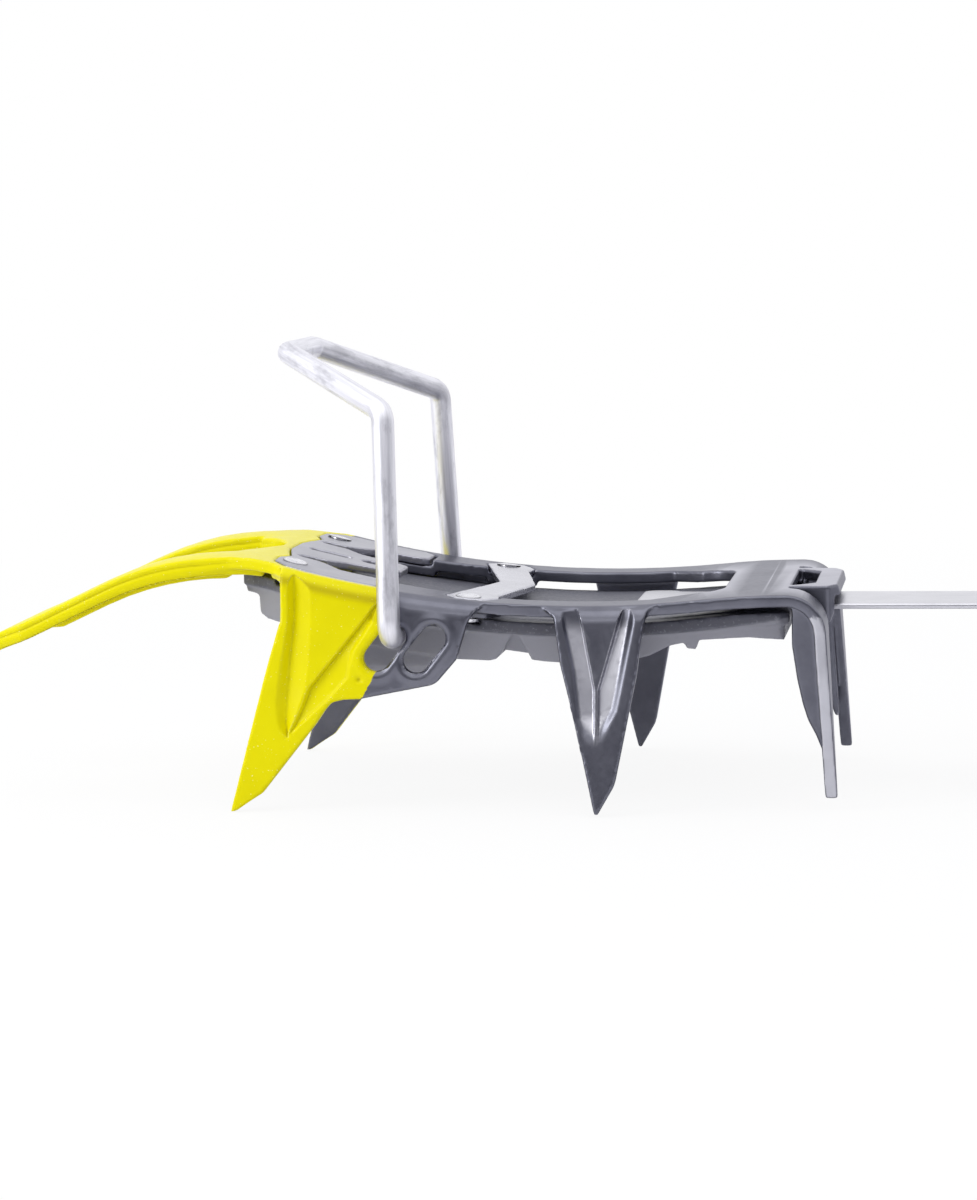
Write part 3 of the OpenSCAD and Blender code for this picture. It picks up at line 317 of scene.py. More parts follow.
def middle_flutes(x, z):
    """Depth, painted highlight and area of a middle side point's flutes, beside their wedge."""
    u = x - MIDDLE_X
    left_rim = -np.interp(z, [15, 20.8, 31.3, 40.4, 48], [-2.6, -4.4, -5.6, -7.7, -9.0])
    right_rim = np.interp(z, [15, 20, 22.6, 26.9, 34, 40.7, 48],
                          [1.6, 3.6, 4.9, 5.8, 7.1, 8.4, 9.4])
    left_wedge = np.interp(z, [15, 26.9, 40.5, 48], [0.2, 0.3, 3.0, 5.0])
    right_wedge = np.interp(z, [15, 26.9, 40.5, 48], [0.2, 0.3, 4.2, 6.2])
    rim = np.where(u < 0, left_rim, right_rim)
    wedge = np.where(u < 0, left_wedge, right_wedge)
    across = np.clip((np.abs(u) - wedge) / np.maximum(rim - wedge, 0.3), 0, 1)
    outer_wall = np.where(u < 0, 1.0, 1.9)
    wall = ramp(np.abs(u), wedge, wedge + 0.55)
    wall = wall * (1 - ramp(np.abs(u), rim - outer_wall, rim + 0.1))
    fade = 0.5 * ramp(z, 14.5, 22) + 0.5 * np.clip((z - 15.5) / 25, 0, 1)
    # Painted highlight: the flute floors and the wedge's crests are marked to shine, where the
    # overhead light catches them.
    shine = ramp(np.abs(u), wedge + 0.2, wedge + 0.5)
    shine = shine * (1 - ramp(np.abs(u), rim - outer_wall - 0.3, rim - outer_wall + 0.4))
    run_out = 15.5 + across * np.where(u < 0, 4.0, 8.0)
    shine = shine * ramp(z, run_out, run_out + 3) * (1 - ramp(z, 38.5, 42.5))
    crest_line = np.exp(-(((np.abs(u) - wedge - 0.1) / 0.25) ** 2))
    shine = np.maximum(shine, 0.55 * crest_line * ramp(z, 14.5, 17) * (1 - ramp(z, 39, 41.5)))
    inside = (np.abs(u) < rim + 1.0) & (z > 13.3)
    return wall * fade * (2.0 - 1.0 * across), shine, inside


# Each pair of fluted points: its splay, its flutes, and where it starts and ends.
SIDE_POINTS = ((FIRST_SPLAY, first_flutes, -134, -97), (MIDDLE_SPLAY, middle_flutes, -66, -40))
FACE_REACH = 2.15


def press_flutes(piece):
    """Sets the outer faces of the side points to their stamped form."""
    co = points_of(piece)
    x, y, z = co.T
    side = np.where(y < 0, -1.0, 1.0)
    for splay, form, start, end in SIDE_POINTS:
        flat, bent, below = outer_face(x, z, splay)
        deep, _, inside = form(x, z)
        here = inside & (x > start) & (x < end) & (below < -0.75) & (below > -37)
        here &= (bent - np.abs(y) < FACE_REACH) & (bent - np.abs(y) > -0.6)
        y = np.where(here, side * np.minimum(bent, flat - deep), y)
    move_points(piece, np.stack([x, y, z], 1))


def slot_distance(x, z):
    """Distance from the middle lines of the bail's slots in the ears."""
    best = np.full(len(x), 99.0)
    for i in range(2):
        px, pz = HINGE_X + SLOT_PITCH * i, HINGE_Z - SLOT_DROP * i
        run = np.array([-3.8, -4.8])
        t = np.clip(((x - px) * run[0] + (z - pz) * run[1]) / (run @ run), 0, 1)
        best = np.minimum(best, np.hypot(x - px - t * run[0], z - pz - t * run[1]))
    return best


sheet = from_solid("stamped_front_frame", "front_frame")
apply(sheet, "REMESH", mode="VOXEL", voxel_size=0.42 * MM)
press_flutes(sheet)
apply(sheet, "REMESH", mode="VOXEL", voxel_size=0.34 * MM)
apply(sheet, "SMOOTH", factor=0.5, iterations=1)
press_flutes(sheet)
apply(sheet, "SMOOTH", factor=0.4, iterations=1)

# Raised collars round the bail's slots, a centre-punch mark, and the front points'
# camber, side grooves and shallow pressed panels.
co, n = points_of(sheet), normals_of(sheet)
x, y, z = co.T
side = np.where(y < 0, -1.0, 1.0)
_, bent, _ = outer_face(x, z, FIRST_SPLAY)
face = (np.abs(bent - np.abs(y)) < 0.6) & (n[:, 1] * side > 0.6)
face &= (x > -112) & (x < -76) & (z > 15)
gap = slot_distance(x, z)
raised = 0.24 * np.exp(-(((gap - 4.3) / 0.9) ** 2)) - 0.35 * ramp(-gap, -3.5, -2.8)
punch = -0.5 * np.exp(-((np.hypot(x + 105.3, z - 29.0) / 0.65) ** 2))
y = np.where(face, y + side * (raised + punch), y)
point = x < NOSE_X - 6
offset = np.abs(y) - TIP_Y
half = np.interp(x, [TIP_X, TIP_X + 9, NOSE_X - 24], [2, 5.0, 7.0])
down = sole_height(x) - z
blend_in = 1 - ramp(x, NOSE_X - 24, NOSE_X - 8)
wall = (np.abs(n[:, 1]) > 0.7) & point & (np.abs(offset) > half - 1.2)
groove = 0.35 * np.exp(-(((down - 1.3) / 0.4) ** 2))
groove += 0.45 * np.exp(-(((down - 4.1) / 0.5) ** 2))
y = np.where(wall, y - side * np.sign(offset) * groove * blend_in, y)
camber = 0.8 * np.clip(np.abs(offset) / half, 0, 1.2) ** 2
camber = camber * blend_in * ramp(x, TIP_X + 1, TIP_X + 12)
panel = 0.45 * ramp(x, -182, -172) * (1 - ramp(x, -165, -150))
panel = panel * (1 - ramp(np.abs(offset), 1.5, 3.4))
panel = np.where(n[:, 2] > 0.6, panel, 0)
z = np.where(point, z - camber - panel, z)
move_points(sheet, np.stack([x, y, z], 1))
faces = sum(len(face.vertices) - 2 for face in sheet.data.polygons)
apply(sheet, "DECIMATE", decimate_type="COLLAPSE", ratio=min(1.0, 192000 / faces))

co, n = points_of(sheet), normals_of(sheet)
x, y, z = co.T
side = np.where(y < 0, -1.0, 1.0)
outer = n[:, 1] * side
edge = np.interp(z, [0, 24.1, 24.9, 30.1, 38, 46, 60],
                 [-105, -105.6, -104.7, -101.6, -100.3, -99.6, -99])
inner_face = (outer < -0.3) & (np.abs(y) > 36.5) & (z < sole_height(x) - 3.4) & (x > -138)
bare_top = (y > 0) & (x > NOSE_X + 0.5) & ((outer < -0.1) | ((n[:, 2] > 0.5) & (y < 40.5)))
mark(sheet, "coat_edge", np.where(inner_face | bare_top, -2.0, edge - x))
# Painted highlight: the flutes' shine, and lighter steel on up-facing tops, the crossmember's top
# and the outward-facing rear edge, where the light falls on them.
flute_highlight = np.zeros(len(x))
for splay, form, start, end in SIDE_POINTS:
    _, bent, _ = outer_face(x, z, splay)
    _, shine, inside = form(x, z)
    here = inside & (x > start) & (x < end) & (bent - np.abs(y) < 2.3) & (outer > 0)
    flute_highlight = np.where(here, shine, flute_highlight)
lit_member_top = ramp(x, -33, -29) * (1 - ramp(np.abs(y), 24, 32)) * ramp(n[:, 2], 0.8, 0.97)
lit_tops = 0.15 * ramp(n[:, 2], 0.8, 0.98) * (z > 36)
lit_tail_edge = ramp(x, -11, -7) * ramp(outer, 0.6, 0.9) * ramp(np.abs(y), 32, 33) * (z < 42)
mark(sheet, "painted_highlight", np.clip(flute_highlight + lit_member_top + lit_tops + 0.8 * lit_tail_edge, 0, 1))
# Painted shade: the bend between the top and the outer face, where the normal leans about 27 degrees
# up, is marked to turn the yellow olive.
lean_up = np.degrees(np.arctan2(n[:, 2], np.maximum(outer, 1e-3)))
painted_bend_shade = np.exp(-(((lean_up - 27) / 15) ** 2)) * (outer > 0.2) * ramp(np.abs(y), 37, 38.5)
mark(sheet, "painted_bend_shade", painted_bend_shade * (x > NOSE_X - 2) * (z > sole_height(x) - 7))
mark_wear_and_painted_light(sheet)
smooth_faces(sheet)


def new_material(name):
    material = bpy.data.materials.new(name)
    material.use_nodes = True
    tree = material.node_tree
    return material, tree.nodes, tree.links, tree.nodes["Principled BSDF"]


def attribute(nodes, name):
    node = nodes.new("ShaderNodeAttribute")
    node.attribute_name = name
    return node.outputs["Fac"]


def noise(nodes, links, scale, detail=3.0, roughness=0.5, stretch=(1, 1, 1), place=None):
    """Noise on the object's own coordinates, in metres, or on the given place."""
    if place is None:
        place = nodes.new("ShaderNodeTexCoord").outputs["Object"]
    mapping = nodes.new("ShaderNodeMapping")
    mapping.inputs["Scale"].default_value = stretch
    links.new(place, mapping.inputs["Vector"])
    texture = nodes.new("ShaderNodeTexNoise")
    texture.inputs["Scale"].default_value = scale
    texture.inputs["Detail"].default_value = detail
    texture.inputs["Roughness"].default_value = roughness
    links.new(mapping.outputs["Vector"], texture.inputs["Vector"])
    return texture.outputs["Fac"]


def spread(nodes, links, value, low, high, from_low=0.3, from_high=0.7):
    """Maps a value to a range."""
    node = nodes.new("ShaderNodeMapRange")
    node.inputs["From Min"].default_value = from_low
    node.inputs["From Max"].default_value = from_high
    node.inputs["To Min"].default_value = low
    node.inputs["To Max"].default_value = high
    links.new(value, node.inputs["Value"])
    return node.outputs["Result"]


def combine(nodes, links, operation, first, second):
    """A sum, product or other arithmetic of two values."""
    node = nodes.new("ShaderNodeMath")
    node.operation = operation
    for socket, value in zip(node.inputs, (first, second)):
        if isinstance(value, float):
            socket.default_value = value
        else:
            links.new(value, socket)
    return node.outputs[0]


def mix_colour(nodes, links, factor, first, second):
    node = nodes.new("ShaderNodeMix")
    node.data_type = "RGBA"
    for socket, value in (("Factor", factor), ("A", first), ("B", second)):
        if isinstance(value, (tuple, float)):
            node.inputs[socket].default_value = value
        else:
            links.new(value, node.inputs[socket])
    return node.outputs["Result"]


def bump(nodes, links, shader, height, distance, strength=1.0):
    node = nodes.new("ShaderNodeBump")
    node.inputs["Distance"].default_value = distance
    node.inputs["Strength"].default_value = strength
    links.new(height, node.inputs["Height"])
    links.new(node.outputs["Normal"], shader.inputs["Normal"])


def rubbed(nodes, links, low=0.16, high=0.42):
    """Share of an edge that is rubbed bright, broken up unevenly as rubbing is."""
    broken = spread(nodes, links, noise(nodes, links, 420, 4), -0.1, 0.06)
    return spread(nodes, links, combine(nodes, links, "ADD", attribute(nodes, "wear_and_painted_light"), broken),
                  0.0, 1.0, low, high)


def steel(name, dark, light, rubbed_colour, rough=(0.28, 0.34), grain=(1, 1, 1), depth=0.000006):
    """Satin steel with a cloudy tone, a fine grain and rubbed edges."""
    material, nodes, links, shader = new_material(name)
    cloud = spread(nodes, links, noise(nodes, links, 80, 5, 0.6), 0.0, 1.0)
    tone = mix_colour(nodes, links, cloud, (*dark, 1), (*light, 1))
    worn_and_highlit = rubbed(nodes, links)
    links.new(mix_colour(nodes, links, worn_and_highlit, tone, (*rubbed_colour, 1)),
              shader.inputs["Base Color"])
    shader.inputs["Metallic"].default_value = 1.0
    fine = noise(nodes, links, 900, 3, 0.6, grain)
    links.new(spread(nodes, links, fine, *rough), shader.inputs["Roughness"])
    bump(nodes, links, shader, fine, depth, 0.6)
    return material


def frame_finish():
    """Satin blue-grey steel with a painted highlight on its flutes and up-facing tops, under a
    powder coat at the front with painted shade in its creases and bend.
    """
    material, nodes, links, shader = new_material("coated_frame_steel")
    ragged = spread(nodes, links, noise(nodes, links, 700, 2), -0.25, 0.25)
    at = combine(nodes, links, "ADD", attribute(nodes, "coat_edge"), ragged)
    painted = spread(nodes, links, at, 0.0, 1.0, -0.12, 0.12)
    cloud = spread(nodes, links, noise(nodes, links, 90, 5, 0.6), 0.0, 1.0)
    dull = mix_colour(nodes, links, cloud, (0.145, 0.148, 0.18, 1), (0.2, 0.203, 0.24, 1))
    # Painted highlight: the light grey used where the painted highlight is marked.
    painted_highlight_grey = mix_colour(nodes, links, cloud, (0.6, 0.6, 0.65, 1), (0.72, 0.72, 0.77, 1))
    grey = mix_colour(nodes, links, attribute(nodes, "painted_highlight"), dull, painted_highlight_grey)
    grey = mix_colour(nodes, links, rubbed(nodes, links), grey, (0.75, 0.75, 0.8, 1))
    yellow = mix_colour(nodes, links, cloud, (0.765, 0.69, 0.0, 1), (0.81, 0.735, 0.0, 1))
    # Painted shade: the yellow turns olive in concave creases and along the top bend.
    painted_shade = spread(nodes, links, attribute(nodes, "wear_and_painted_light"), 0.55, 0.0, -0.28, -0.03)
    painted_shade = combine(nodes, links, "MAXIMUM", painted_shade, combine(
        nodes, links, "MULTIPLY", attribute(nodes, "painted_bend_shade"), 0.75))
    yellow = mix_colour(nodes, links, painted_shade, yellow, (0.42, 0.34, 0.0, 1))
    # Pale yellow: fine specks of chalky dust, and a painted highlight along convex edges.
    chalk = spread(nodes, links, noise(nodes, links, 2300, 1), 0.0, 1.0, 0.73, 0.76)
    worn_and_highlit = spread(nodes, links, attribute(nodes, "wear_and_painted_light"), 0.0, 0.45, 0.12, 0.4)
    yellow = mix_colour(nodes, links, combine(nodes, links, "MAXIMUM", worn_and_highlit, chalk),
                        yellow, (0.93, 0.9, 0.28, 1))
    links.new(mix_colour(nodes, links, painted, grey, yellow), shader.inputs["Base Color"])
    links.new(combine(nodes, links, "SUBTRACT", 1.0, painted), shader.inputs["Metallic"])
    grain = noise(nodes, links, 800, 3)
    links.new(spread(nodes, links, grain, 0.28, 0.34), shader.inputs["Roughness"])
    shader.inputs["Specular IOR Level"].default_value = 0.14
    shader.inputs["Specular Tint"].default_value = (0.72, 0.72, 0.75, 1)
    bump(nodes, links, shader, noise(nodes, links, 1400, 2), 0.000012, 0.5)
    return material


dress(sheet, frame_finish(), "front_frame", "front_section")

# Toe plate: 1.8 mm spring steel sheet, punched with two slots and a tongue, which lies
# in the seat that is pressed into the frame. Its deburred edges are thick and dark.
plate = rounded_form("punched_toe_plate", "toe_plate", 0.26, 4, 90000)
mark_wear_and_painted_light(plate)
smooth_faces(plate)
plate_steel = steel("plate_steel", (0.34, 0.34, 0.39), (0.46, 0.46, 0.51), (0.8, 0.8, 0.84),
                    rough=(0.3, 0.34), depth=0.000001)
dress(plate, plate_steel, "toe_plate", "front_section")


# Rivets: plated steel, with a low domed head closed by a four-pronged punch above and a
# flat closing head below. The toe plate has two and the cross brace two.
def turned(name, rings, sides=40):
    """A turned piece: a disc that is drawn out through rings of radius and height."""
    bpy.ops.object.select_all(action="DESELECT")
    bpy.ops.mesh.primitive_circle_add(vertices=sides, radius=rings[0][0] * MM, fill_type="NGON")
    piece = bpy.context.object
    piece.name = name
    bpy.ops.object.mode_set(mode="EDIT")
    bpy.ops.mesh.select_all(action="SELECT")
    bpy.ops.transform.translate(value=(0, 0, rings[0][1] * MM))
    for (r0, z0), (r1, z1) in zip(rings, rings[1:]):
        bpy.ops.mesh.extrude_region_move(TRANSFORM_OT_translate={"value": (0, 0, (z1 - z0) * MM)})
        bpy.ops.transform.resize(value=(r1 / r0, r1 / r0, 1), center_override=(0, 0, 0))
    bpy.ops.mesh.select_all(action="SELECT")
    bpy.ops.mesh.normals_make_consistent(inside=False)
    bpy.ops.object.mode_set(mode="OBJECT")
    return piece


def smooth_by_angle(piece, degrees=35):
    only(piece)
    bpy.ops.object.shade_smooth_by_angle(angle=math.radians(degrees))


def copy_of(piece, name, place):
    """A copy with its own mesh, moved to its place."""
    twin = bpy.data.objects.new(name, piece.data.copy())
    scene.collection.objects.link(twin)
    twin.data.transform(place)
    return twin


def rivet(name, top, bottom, radius=2.2, head=2.9):
    """A rivet through the sheets between two heights, with punch marks in its head."""
    dome = [(head - 0.08, 0.1), (head, 0.14), (head - 0.06, 0.19), (head - 0.3, 0.25),
            (2.3, 0.31), (1.95, 0.35), (1.6, 0.38), (1.25, 0.41), (0.9, 0.43), (0.5, 0.44),
            (0.15, 0.44)]
    rings = [(2.4, -1.0), (2.85, -0.95), (3.0, -0.8), (3.0, -0.2), (2.85, -0.1)]
    rings = [(r, bottom + h) for r, h in rings] + [(radius, bottom - 0.1), (radius, top + 0.1)]
    rings += [(r, top + h) for r, h in dome]
    piece = turned(name, rings)
    co = points_of(piece)
    x, y, z = co.T
    marks = sum(
        np.exp(-((np.hypot(x - 1.6 * math.cos(a), y - 1.6 * math.sin(a)) / 0.32) ** 2))
        for a in (0.35, 0.35 + math.pi / 2, 0.35 + math.pi, 0.35 + 1.5 * math.pi)
    )
    z = np.where(z > top + 0.2, z - 0.16 * marks - 0.12 * np.exp(-((np.hypot(x, y) / 0.5) ** 2)), z)
    move_points(piece, np.stack([x, y, z], 1))
    mark(piece, "seam", ramp(np.hypot(x, y), 2.5, 2.75) * (z > top))
    smooth_by_angle(piece, 50)
    return piece


def on_sole(x, y):
    """The place and tilt of a piece that stands square on the sole line, in metres."""
    slope = math.asin((x - SOLE_X) / SOLE_R)
    place = Matrix.Translation((x * MM, y * MM, float(sole_height(np.array(x))) * MM))
    return place @ Matrix.Rotation(-slope, 4, "Y")


def plated(name):
    """Bright plated steel with fine turning marks and a faint cloudiness."""
    material, nodes, links, shader = new_material(name)
    cloud = spread(nodes, links, noise(nodes, links, 500, 4), 0.0, 1.0)
    bright = mix_colour(nodes, links, cloud, (0.7, 0.7, 0.74, 1), (0.88, 0.88, 0.92, 1))
    seam = combine(nodes, links, "MULTIPLY", attribute(nodes, "seam"), 0.85)
    links.new(mix_colour(nodes, links, seam, bright, (0.07, 0.07, 0.085, 1)),
              shader.inputs["Base Color"])
    shader.inputs["Metallic"].default_value = 1.0
    links.new(spread(nodes, links, noise(nodes, links, 1500, 3), 0.18, 0.32),
              shader.inputs["Roughness"])
    bump(nodes, links, shader, noise(nodes, links, 2500, 2), 0.00002, 0.5)
    return material


# The frame's top falls away to both sides by this angle under the rivets' heads.
SHOULDER = math.radians(4)
plated_steel = plated("rivet_plating")
for node, x, y in (("toe_rivets", -122.0, 27.5), ("brace_rivets", -82.0, 33.0)):
    lean_of = math.cos(math.asin((x - SOLE_X) / SOLE_R))
    first = rivet(node + "_near", 0.1 * lean_of, -4.1 * lean_of - 0.15)
    second = copy_of(first, node + "_far", on_sole(x, y) @ Matrix.Rotation(-SHOULDER, 4, "X"))
    first.data.transform(on_sole(x, -y) @ Matrix.Rotation(SHOULDER, 4, "X"))
    for piece in (first, second):
        dress(piece, plated_steel, node, "front_section")

# Cross brace: a chevron of the same sheet that ties the rails together, riveted flush
# into pressed seats.
brace = rounded_form("cross_brace_chevron", "cross_brace", 0.26, 4, 60000)
mark_wear_and_painted_light(brace)
smooth_faces(brace)
brace_steel = steel("brace_steel", (0.5, 0.5, 0.55), (0.66, 0.66, 0.72), (0.86, 0.86, 0.9),
                    rough=(0.24, 0.28), depth=0.000001)
dress(brace, brace_steel, "cross_brace", "front_section")


# Toe bail: one length of 5 mm stainless wire, bent cold, with its feet turned into the
# slots of the ears. Drawing the wire left fine streaks along it.
def bends(corners, radius, steps=12):
    """The route through the corners, with each one turned at this bend radius."""
    corners = [np.array(corner, float) for corner in corners]
    route = [corners[0]]
    for a, b, c in zip(corners, corners[1:], corners[2:]):
        u, v = (a - b) / np.linalg.norm(a - b), (c - b) / np.linalg.norm(c - b)
        half = math.acos(float(u @ v)) / 2
        m = (u + v) / np.linalg.norm(u + v)
        centre = b + m * radius / math.sin(half)
        reach = radius / math.tan(half)
        s, e, turn = b + u * reach - centre, b + v * reach - centre, math.pi - 2 * half
        for i in range(steps + 1):
            t = turn * i / steps
            route.append(centre + (s * math.sin(turn - t) + e * math.sin(t)) / math.sin(turn))
    return np.array(route + [corners[-1]])


def bent_wire(name, corners, radius, thickness):
    """A wire along the bends with rounded ends; it keeps each point's place on the wire."""
    route = bends(corners, radius)
    for end in (0, -1):
        inner = route[1] if end == 0 else route[-2]
        tip = route[end]
        back = (inner - tip) / np.linalg.norm(inner - tip)
        more = [tip + back * d for d in (0.25, 0.8, 1.6)]
        route = np.vstack([route[:1], more, route[1:]] if end == 0
                          else [route[:-1], more[::-1], route[-1:]])
    curve = bpy.data.curves.new(name, "CURVE")
    curve.dimensions = "3D"
    spline = curve.splines.new("POLY")
    spline.points.add(len(route) - 1)
    for point, place in zip(spline.points, route):
        point.co = (*(place * MM), 1)
    for i, share in ((0, 0.45), (1, 0.72), (2, 0.93)):
        spline.points[i].radius = spline.points[len(route) - 1 - i].radius = share
    curve.bevel_depth = thickness / 2 * MM
    curve.bevel_resolution = 8
    curve.use_fill_caps = True
    piece = bpy.data.objects.new(name, curve)
    scene.collection.objects.link(piece)
    only(piece)
    bpy.ops.object.convert(target="MESH")
    piece = bpy.context.object
    bpy.ops.object.mode_set(mode="EDIT")
    bpy.ops.mesh.select_all(action="SELECT")
    bpy.ops.mesh.remove_doubles(threshold=1e-6)
    bpy.ops.mesh.normals_make_consistent(inside=False)
    bpy.ops.object.mode_set(mode="OBJECT")
    co = points_of(piece)
    run = np.concatenate([[0], np.cumsum(np.linalg.norm(np.diff(route, axis=0), axis=1))])
    ahead_of = np.gradient(route, axis=0)
    ahead_of /= np.linalg.norm(ahead_of, axis=1)[:, None]
    up = np.cross(ahead_of[0], (0.31, 0.17, 0.93))
    ups = []
    for step in ahead_of:
        up = up - (up @ step) * step
        up /= np.linalg.norm(up)
        ups.append(up)
    ups = np.array(ups)
    near = np.argmin(((co[:, None] - route[None]) ** 2).sum(2), axis=1)
    out = co - route[near]
    forth = np.einsum("ij,ij->i", out, ahead_of[near])
    place = np.stack([
        run[near] + forth,
        np.einsum("ij,ij->i", out, ups[near]),
        np.einsum("ij,ij->i", out, np.cross(ahead_of[near], ups[near])),
    ], 1)
    layer = piece.data.attributes.new("along_wire", "FLOAT_VECTOR", "POINT")
    layer.data.foreach_set("vector", (place * MM).astype(np.float32).ravel())
    smooth_by_angle(piece, 60)
    return piece


def wire_finish():
    """Satin drawn stainless wire: fine streaks along it and small dull scuffs."""
    material, nodes, links, shader = new_material("drawn_wire")
    route = nodes.new("ShaderNodeAttribute")
    route.attribute_name = "along_wire"
    along = route.outputs["Vector"]
    streak = noise(nodes, links, 1700, 3, 0.6, (0.03, 1, 1), along)
    scuff = noise(nodes, links, 260, 5, 0.65, (0.35, 1, 1), along)
    tone = mix_colour(nodes, links, spread(nodes, links, streak, 0.0, 1.0),
                      (0.72, 0.72, 0.77, 1), (0.95, 0.95, 1.0, 1))
    tone = mix_colour(nodes, links, spread(nodes, links, scuff, 0.0, 0.6, 0.52, 0.66),
                      tone, (0.48, 0.48, 0.52, 1))
    links.new(tone, shader.inputs["Base Color"])
    shader.inputs["Metallic"].default_value = 1.0
    links.new(spread(nodes, links, streak, 0.38, 0.5), shader.inputs["Roughness"])
    bump(nodes, links, shader, streak, 0.00006, 0.6)
    return material


drawn_wire = wire_finish()
half = [(HINGE_X, 36.5, HINGE_Z), (HINGE_X, 47.3, HINGE_Z), (-99.1, 40.8, 87.9), (-125.1, 15, 99.9)]
toe_bail = bent_wire("toe_bail_wire", half + [(x, -y, z) for x, y, z in half[::-1]], 3.8, 5.0)
dress(toe_bail, drawn_wire, "toe_bail", "toe_bail")


# Snow plates: soft dark grey plastic, moulded to the underside of both frames, with a
# ledge round the edge. Its surface is finely grained and scuffed pale on the ledges,
# and the front one's block below the ledge is coloured lighter as painted light.
def moulded(name, dark, light, scuffed, rough=(0.42, 0.58), grain=900):
    material, nodes, links, shader = new_material(name)
    cloud = spread(nodes, links, noise(nodes, links, 60, 5, 0.6), 0.0, 1.0)
    tone = mix_colour(nodes, links, cloud, (*dark, 1), (*light, 1))
    # Painted light: paler grey where the snow plate's drafted lower block is marked as lit.
    tone = mix_colour(nodes, links, combine(nodes, links, "MULTIPLY", attribute(nodes, "painted_lit_block"), 0.7),
                      tone, (0.42, 0.42, 0.47, 1))
    specks = spread(nodes, links, noise(nodes, links, 1600, 2), 0.0, 0.5, 0.6, 0.72)
    share = combine(nodes, links, "MAXIMUM", combine(
        nodes, links, "MULTIPLY", rubbed(nodes, links, 0.08, 0.4), 0.8), specks)
    links.new(mix_colour(nodes, links, share, tone, (*scuffed, 1)), shader.inputs["Base Color"])
    fine = noise(nodes, links, grain, 3, 0.6)
    links.new(spread(nodes, links, fine, *rough), shader.inputs["Roughness"])
    shader.inputs["Specular IOR Level"].default_value = 0.45
    bump(nodes, links, shader, fine, 0.00008, 0.7)
    return material


snow_plastic = moulded("snow_plate_plastic", (0.095, 0.097, 0.122), (0.125, 0.127, 0.155),
                       (0.3, 0.3, 0.34))
for node, body in (("front_snow_plate", "front_section"), ("heel_snow_plate", "heel_section")):
    tray = rounded_form("moulded_" + node, node, 0.45, 1, 120000)
    if node == "front_snow_plate":
        x, y, z = points_of(tray).T
        deep = sole_height(np.clip(x, -134, -12)) - z - 7.2
        draft = 0.6 * ramp(deep, 0, 0.7) + 0.22 * np.clip(deep - 0.7, 0, 7)
        y = y - np.sign(y) * draft * np.clip((np.abs(y) - 22) / 12, 0, 1)
        move_points(tray, np.stack([x, y, z], 1))
        # Painted light: the block below the ledge is marked to render paler, as where it catches the
        # light.
        mark(tray, "painted_lit_block", ramp(deep, 0.1, 0.6) * ramp(np.abs(y), 20, 26))
    mark_wear_and_painted_light(tray)
    smooth_faces(tray)
    dress(tray, snow_plastic, node, body)

# Linking bar: a strip of 1.3 mm spring steel with a row of punched holes, brushed
# along its length, with a rough cut edge.
bar = rounded_form("linking_bar_strip", "linking_bar", 0.33, 1, 60000)
mark_wear_and_painted_light(bar)
smooth_faces(bar)
bar_steel = steel("bar_steel", (0.6, 0.6, 0.64), (0.7, 0.7, 0.74), (0.34, 0.34, 0.37),
                  rough=(0.26, 0.36), grain=(0.02, 1, 1), depth=0.00001)
dress(bar, bar_steel, "linking_bar", "front_section")

# Heel frame: the same 2.7 mm sheet steel as the front, bent down into two side points
# and two rear points, left in bare satin grey.
heel_sheet = rounded_form("stamped_heel_frame", "heel_frame", 0.4, 2, 150000)
mark_wear_and_painted_light(heel_sheet)
smooth_faces(heel_sheet)
heel_steel = steel("heel_steel", (0.16, 0.163, 0.2), (0.23, 0.233, 0.27), (0.7, 0.7, 0.75))
dress(heel_sheet, heel_steel, "heel_frame", "heel_section")

# Bar sleeve: 1.5 mm sheet folded round the bar and riveted under the heel frame.
sleeve = rounded_form("folded_bar_sleeve", "bar_sleeve", 0.3, 1, 50000)
mark_wear_and_painted_light(sleeve)
smooth_faces(sleeve)
sleeve_steel = steel("sleeve_steel", (0.3, 0.3, 0.34), (0.4, 0.4, 0.44), (0.75, 0.75, 0.8))
dress(sleeve, sleeve_steel, "bar_sleeve", "heel_section")
rivet_x, rivet_y = 86, 17.6
first = rivet("sleeve_rivet_near", 46.4, 42.6)
second = copy_of(first, "sleeve_rivet_far", Matrix.Translation((rivet_x * MM, rivet_y * MM, 0)))
first.data.transform(Matrix.Translation((rivet_x * MM, -rivet_y * MM, 0)))
for piece in (first, second):
    dress(piece, plated_steel, "sleeve_rivets", "heel_section")

# Lock lever: a stamped spring steel tongue under the sleeve with a turned stud, on a
# plain pin with chamfered ends.
lock = rounded_form("lock_lever_tongue", "lock_lever", 0.22, 1, 40000)
mark_wear_and_painted_light(lock)
smooth_faces(lock)
dress(lock, bar_steel, "lock_lever", "lock_lever")
lock_x, lock_z, pin_reach = 70.0, 35.7, 10.2
pin = turned("lock_pin_turned", [(0.9, -pin_reach), (1.28, 0.35 - pin_reach),
                                 (1.28, pin_reach - 0.35), (0.9, pin_reach)], 32)
lying = Matrix.Rotation(math.pi / 2, 4, "X")
pin.data.transform(Matrix.Translation((lock_x * MM, 0, lock_z * MM)) @ lying)
smooth_by_angle(pin)
dress(pin, plated_steel, "lock_pin", "heel_section")

# Heel bail: 4.5 mm stainless wire that turns in the heel frame's ears; its crossbar
# carries the lever.
EAR_X, EAR_Z = 124, 38
CROSSBAR_X, CROSSBAR_Z = 180.25, 82
half = [(EAR_X, 27.5, EAR_Z), (EAR_X, 39.7, EAR_Z), (CROSSBAR_X, 20, CROSSBAR_Z)]
heel_bail = bent_wire("heel_bail_wire", half + [(x, -y, z) for x, y, z in half[::-1]], 3.8, 4.5)
dress(heel_bail, drawn_wire, "heel_bail", "heel_bail")

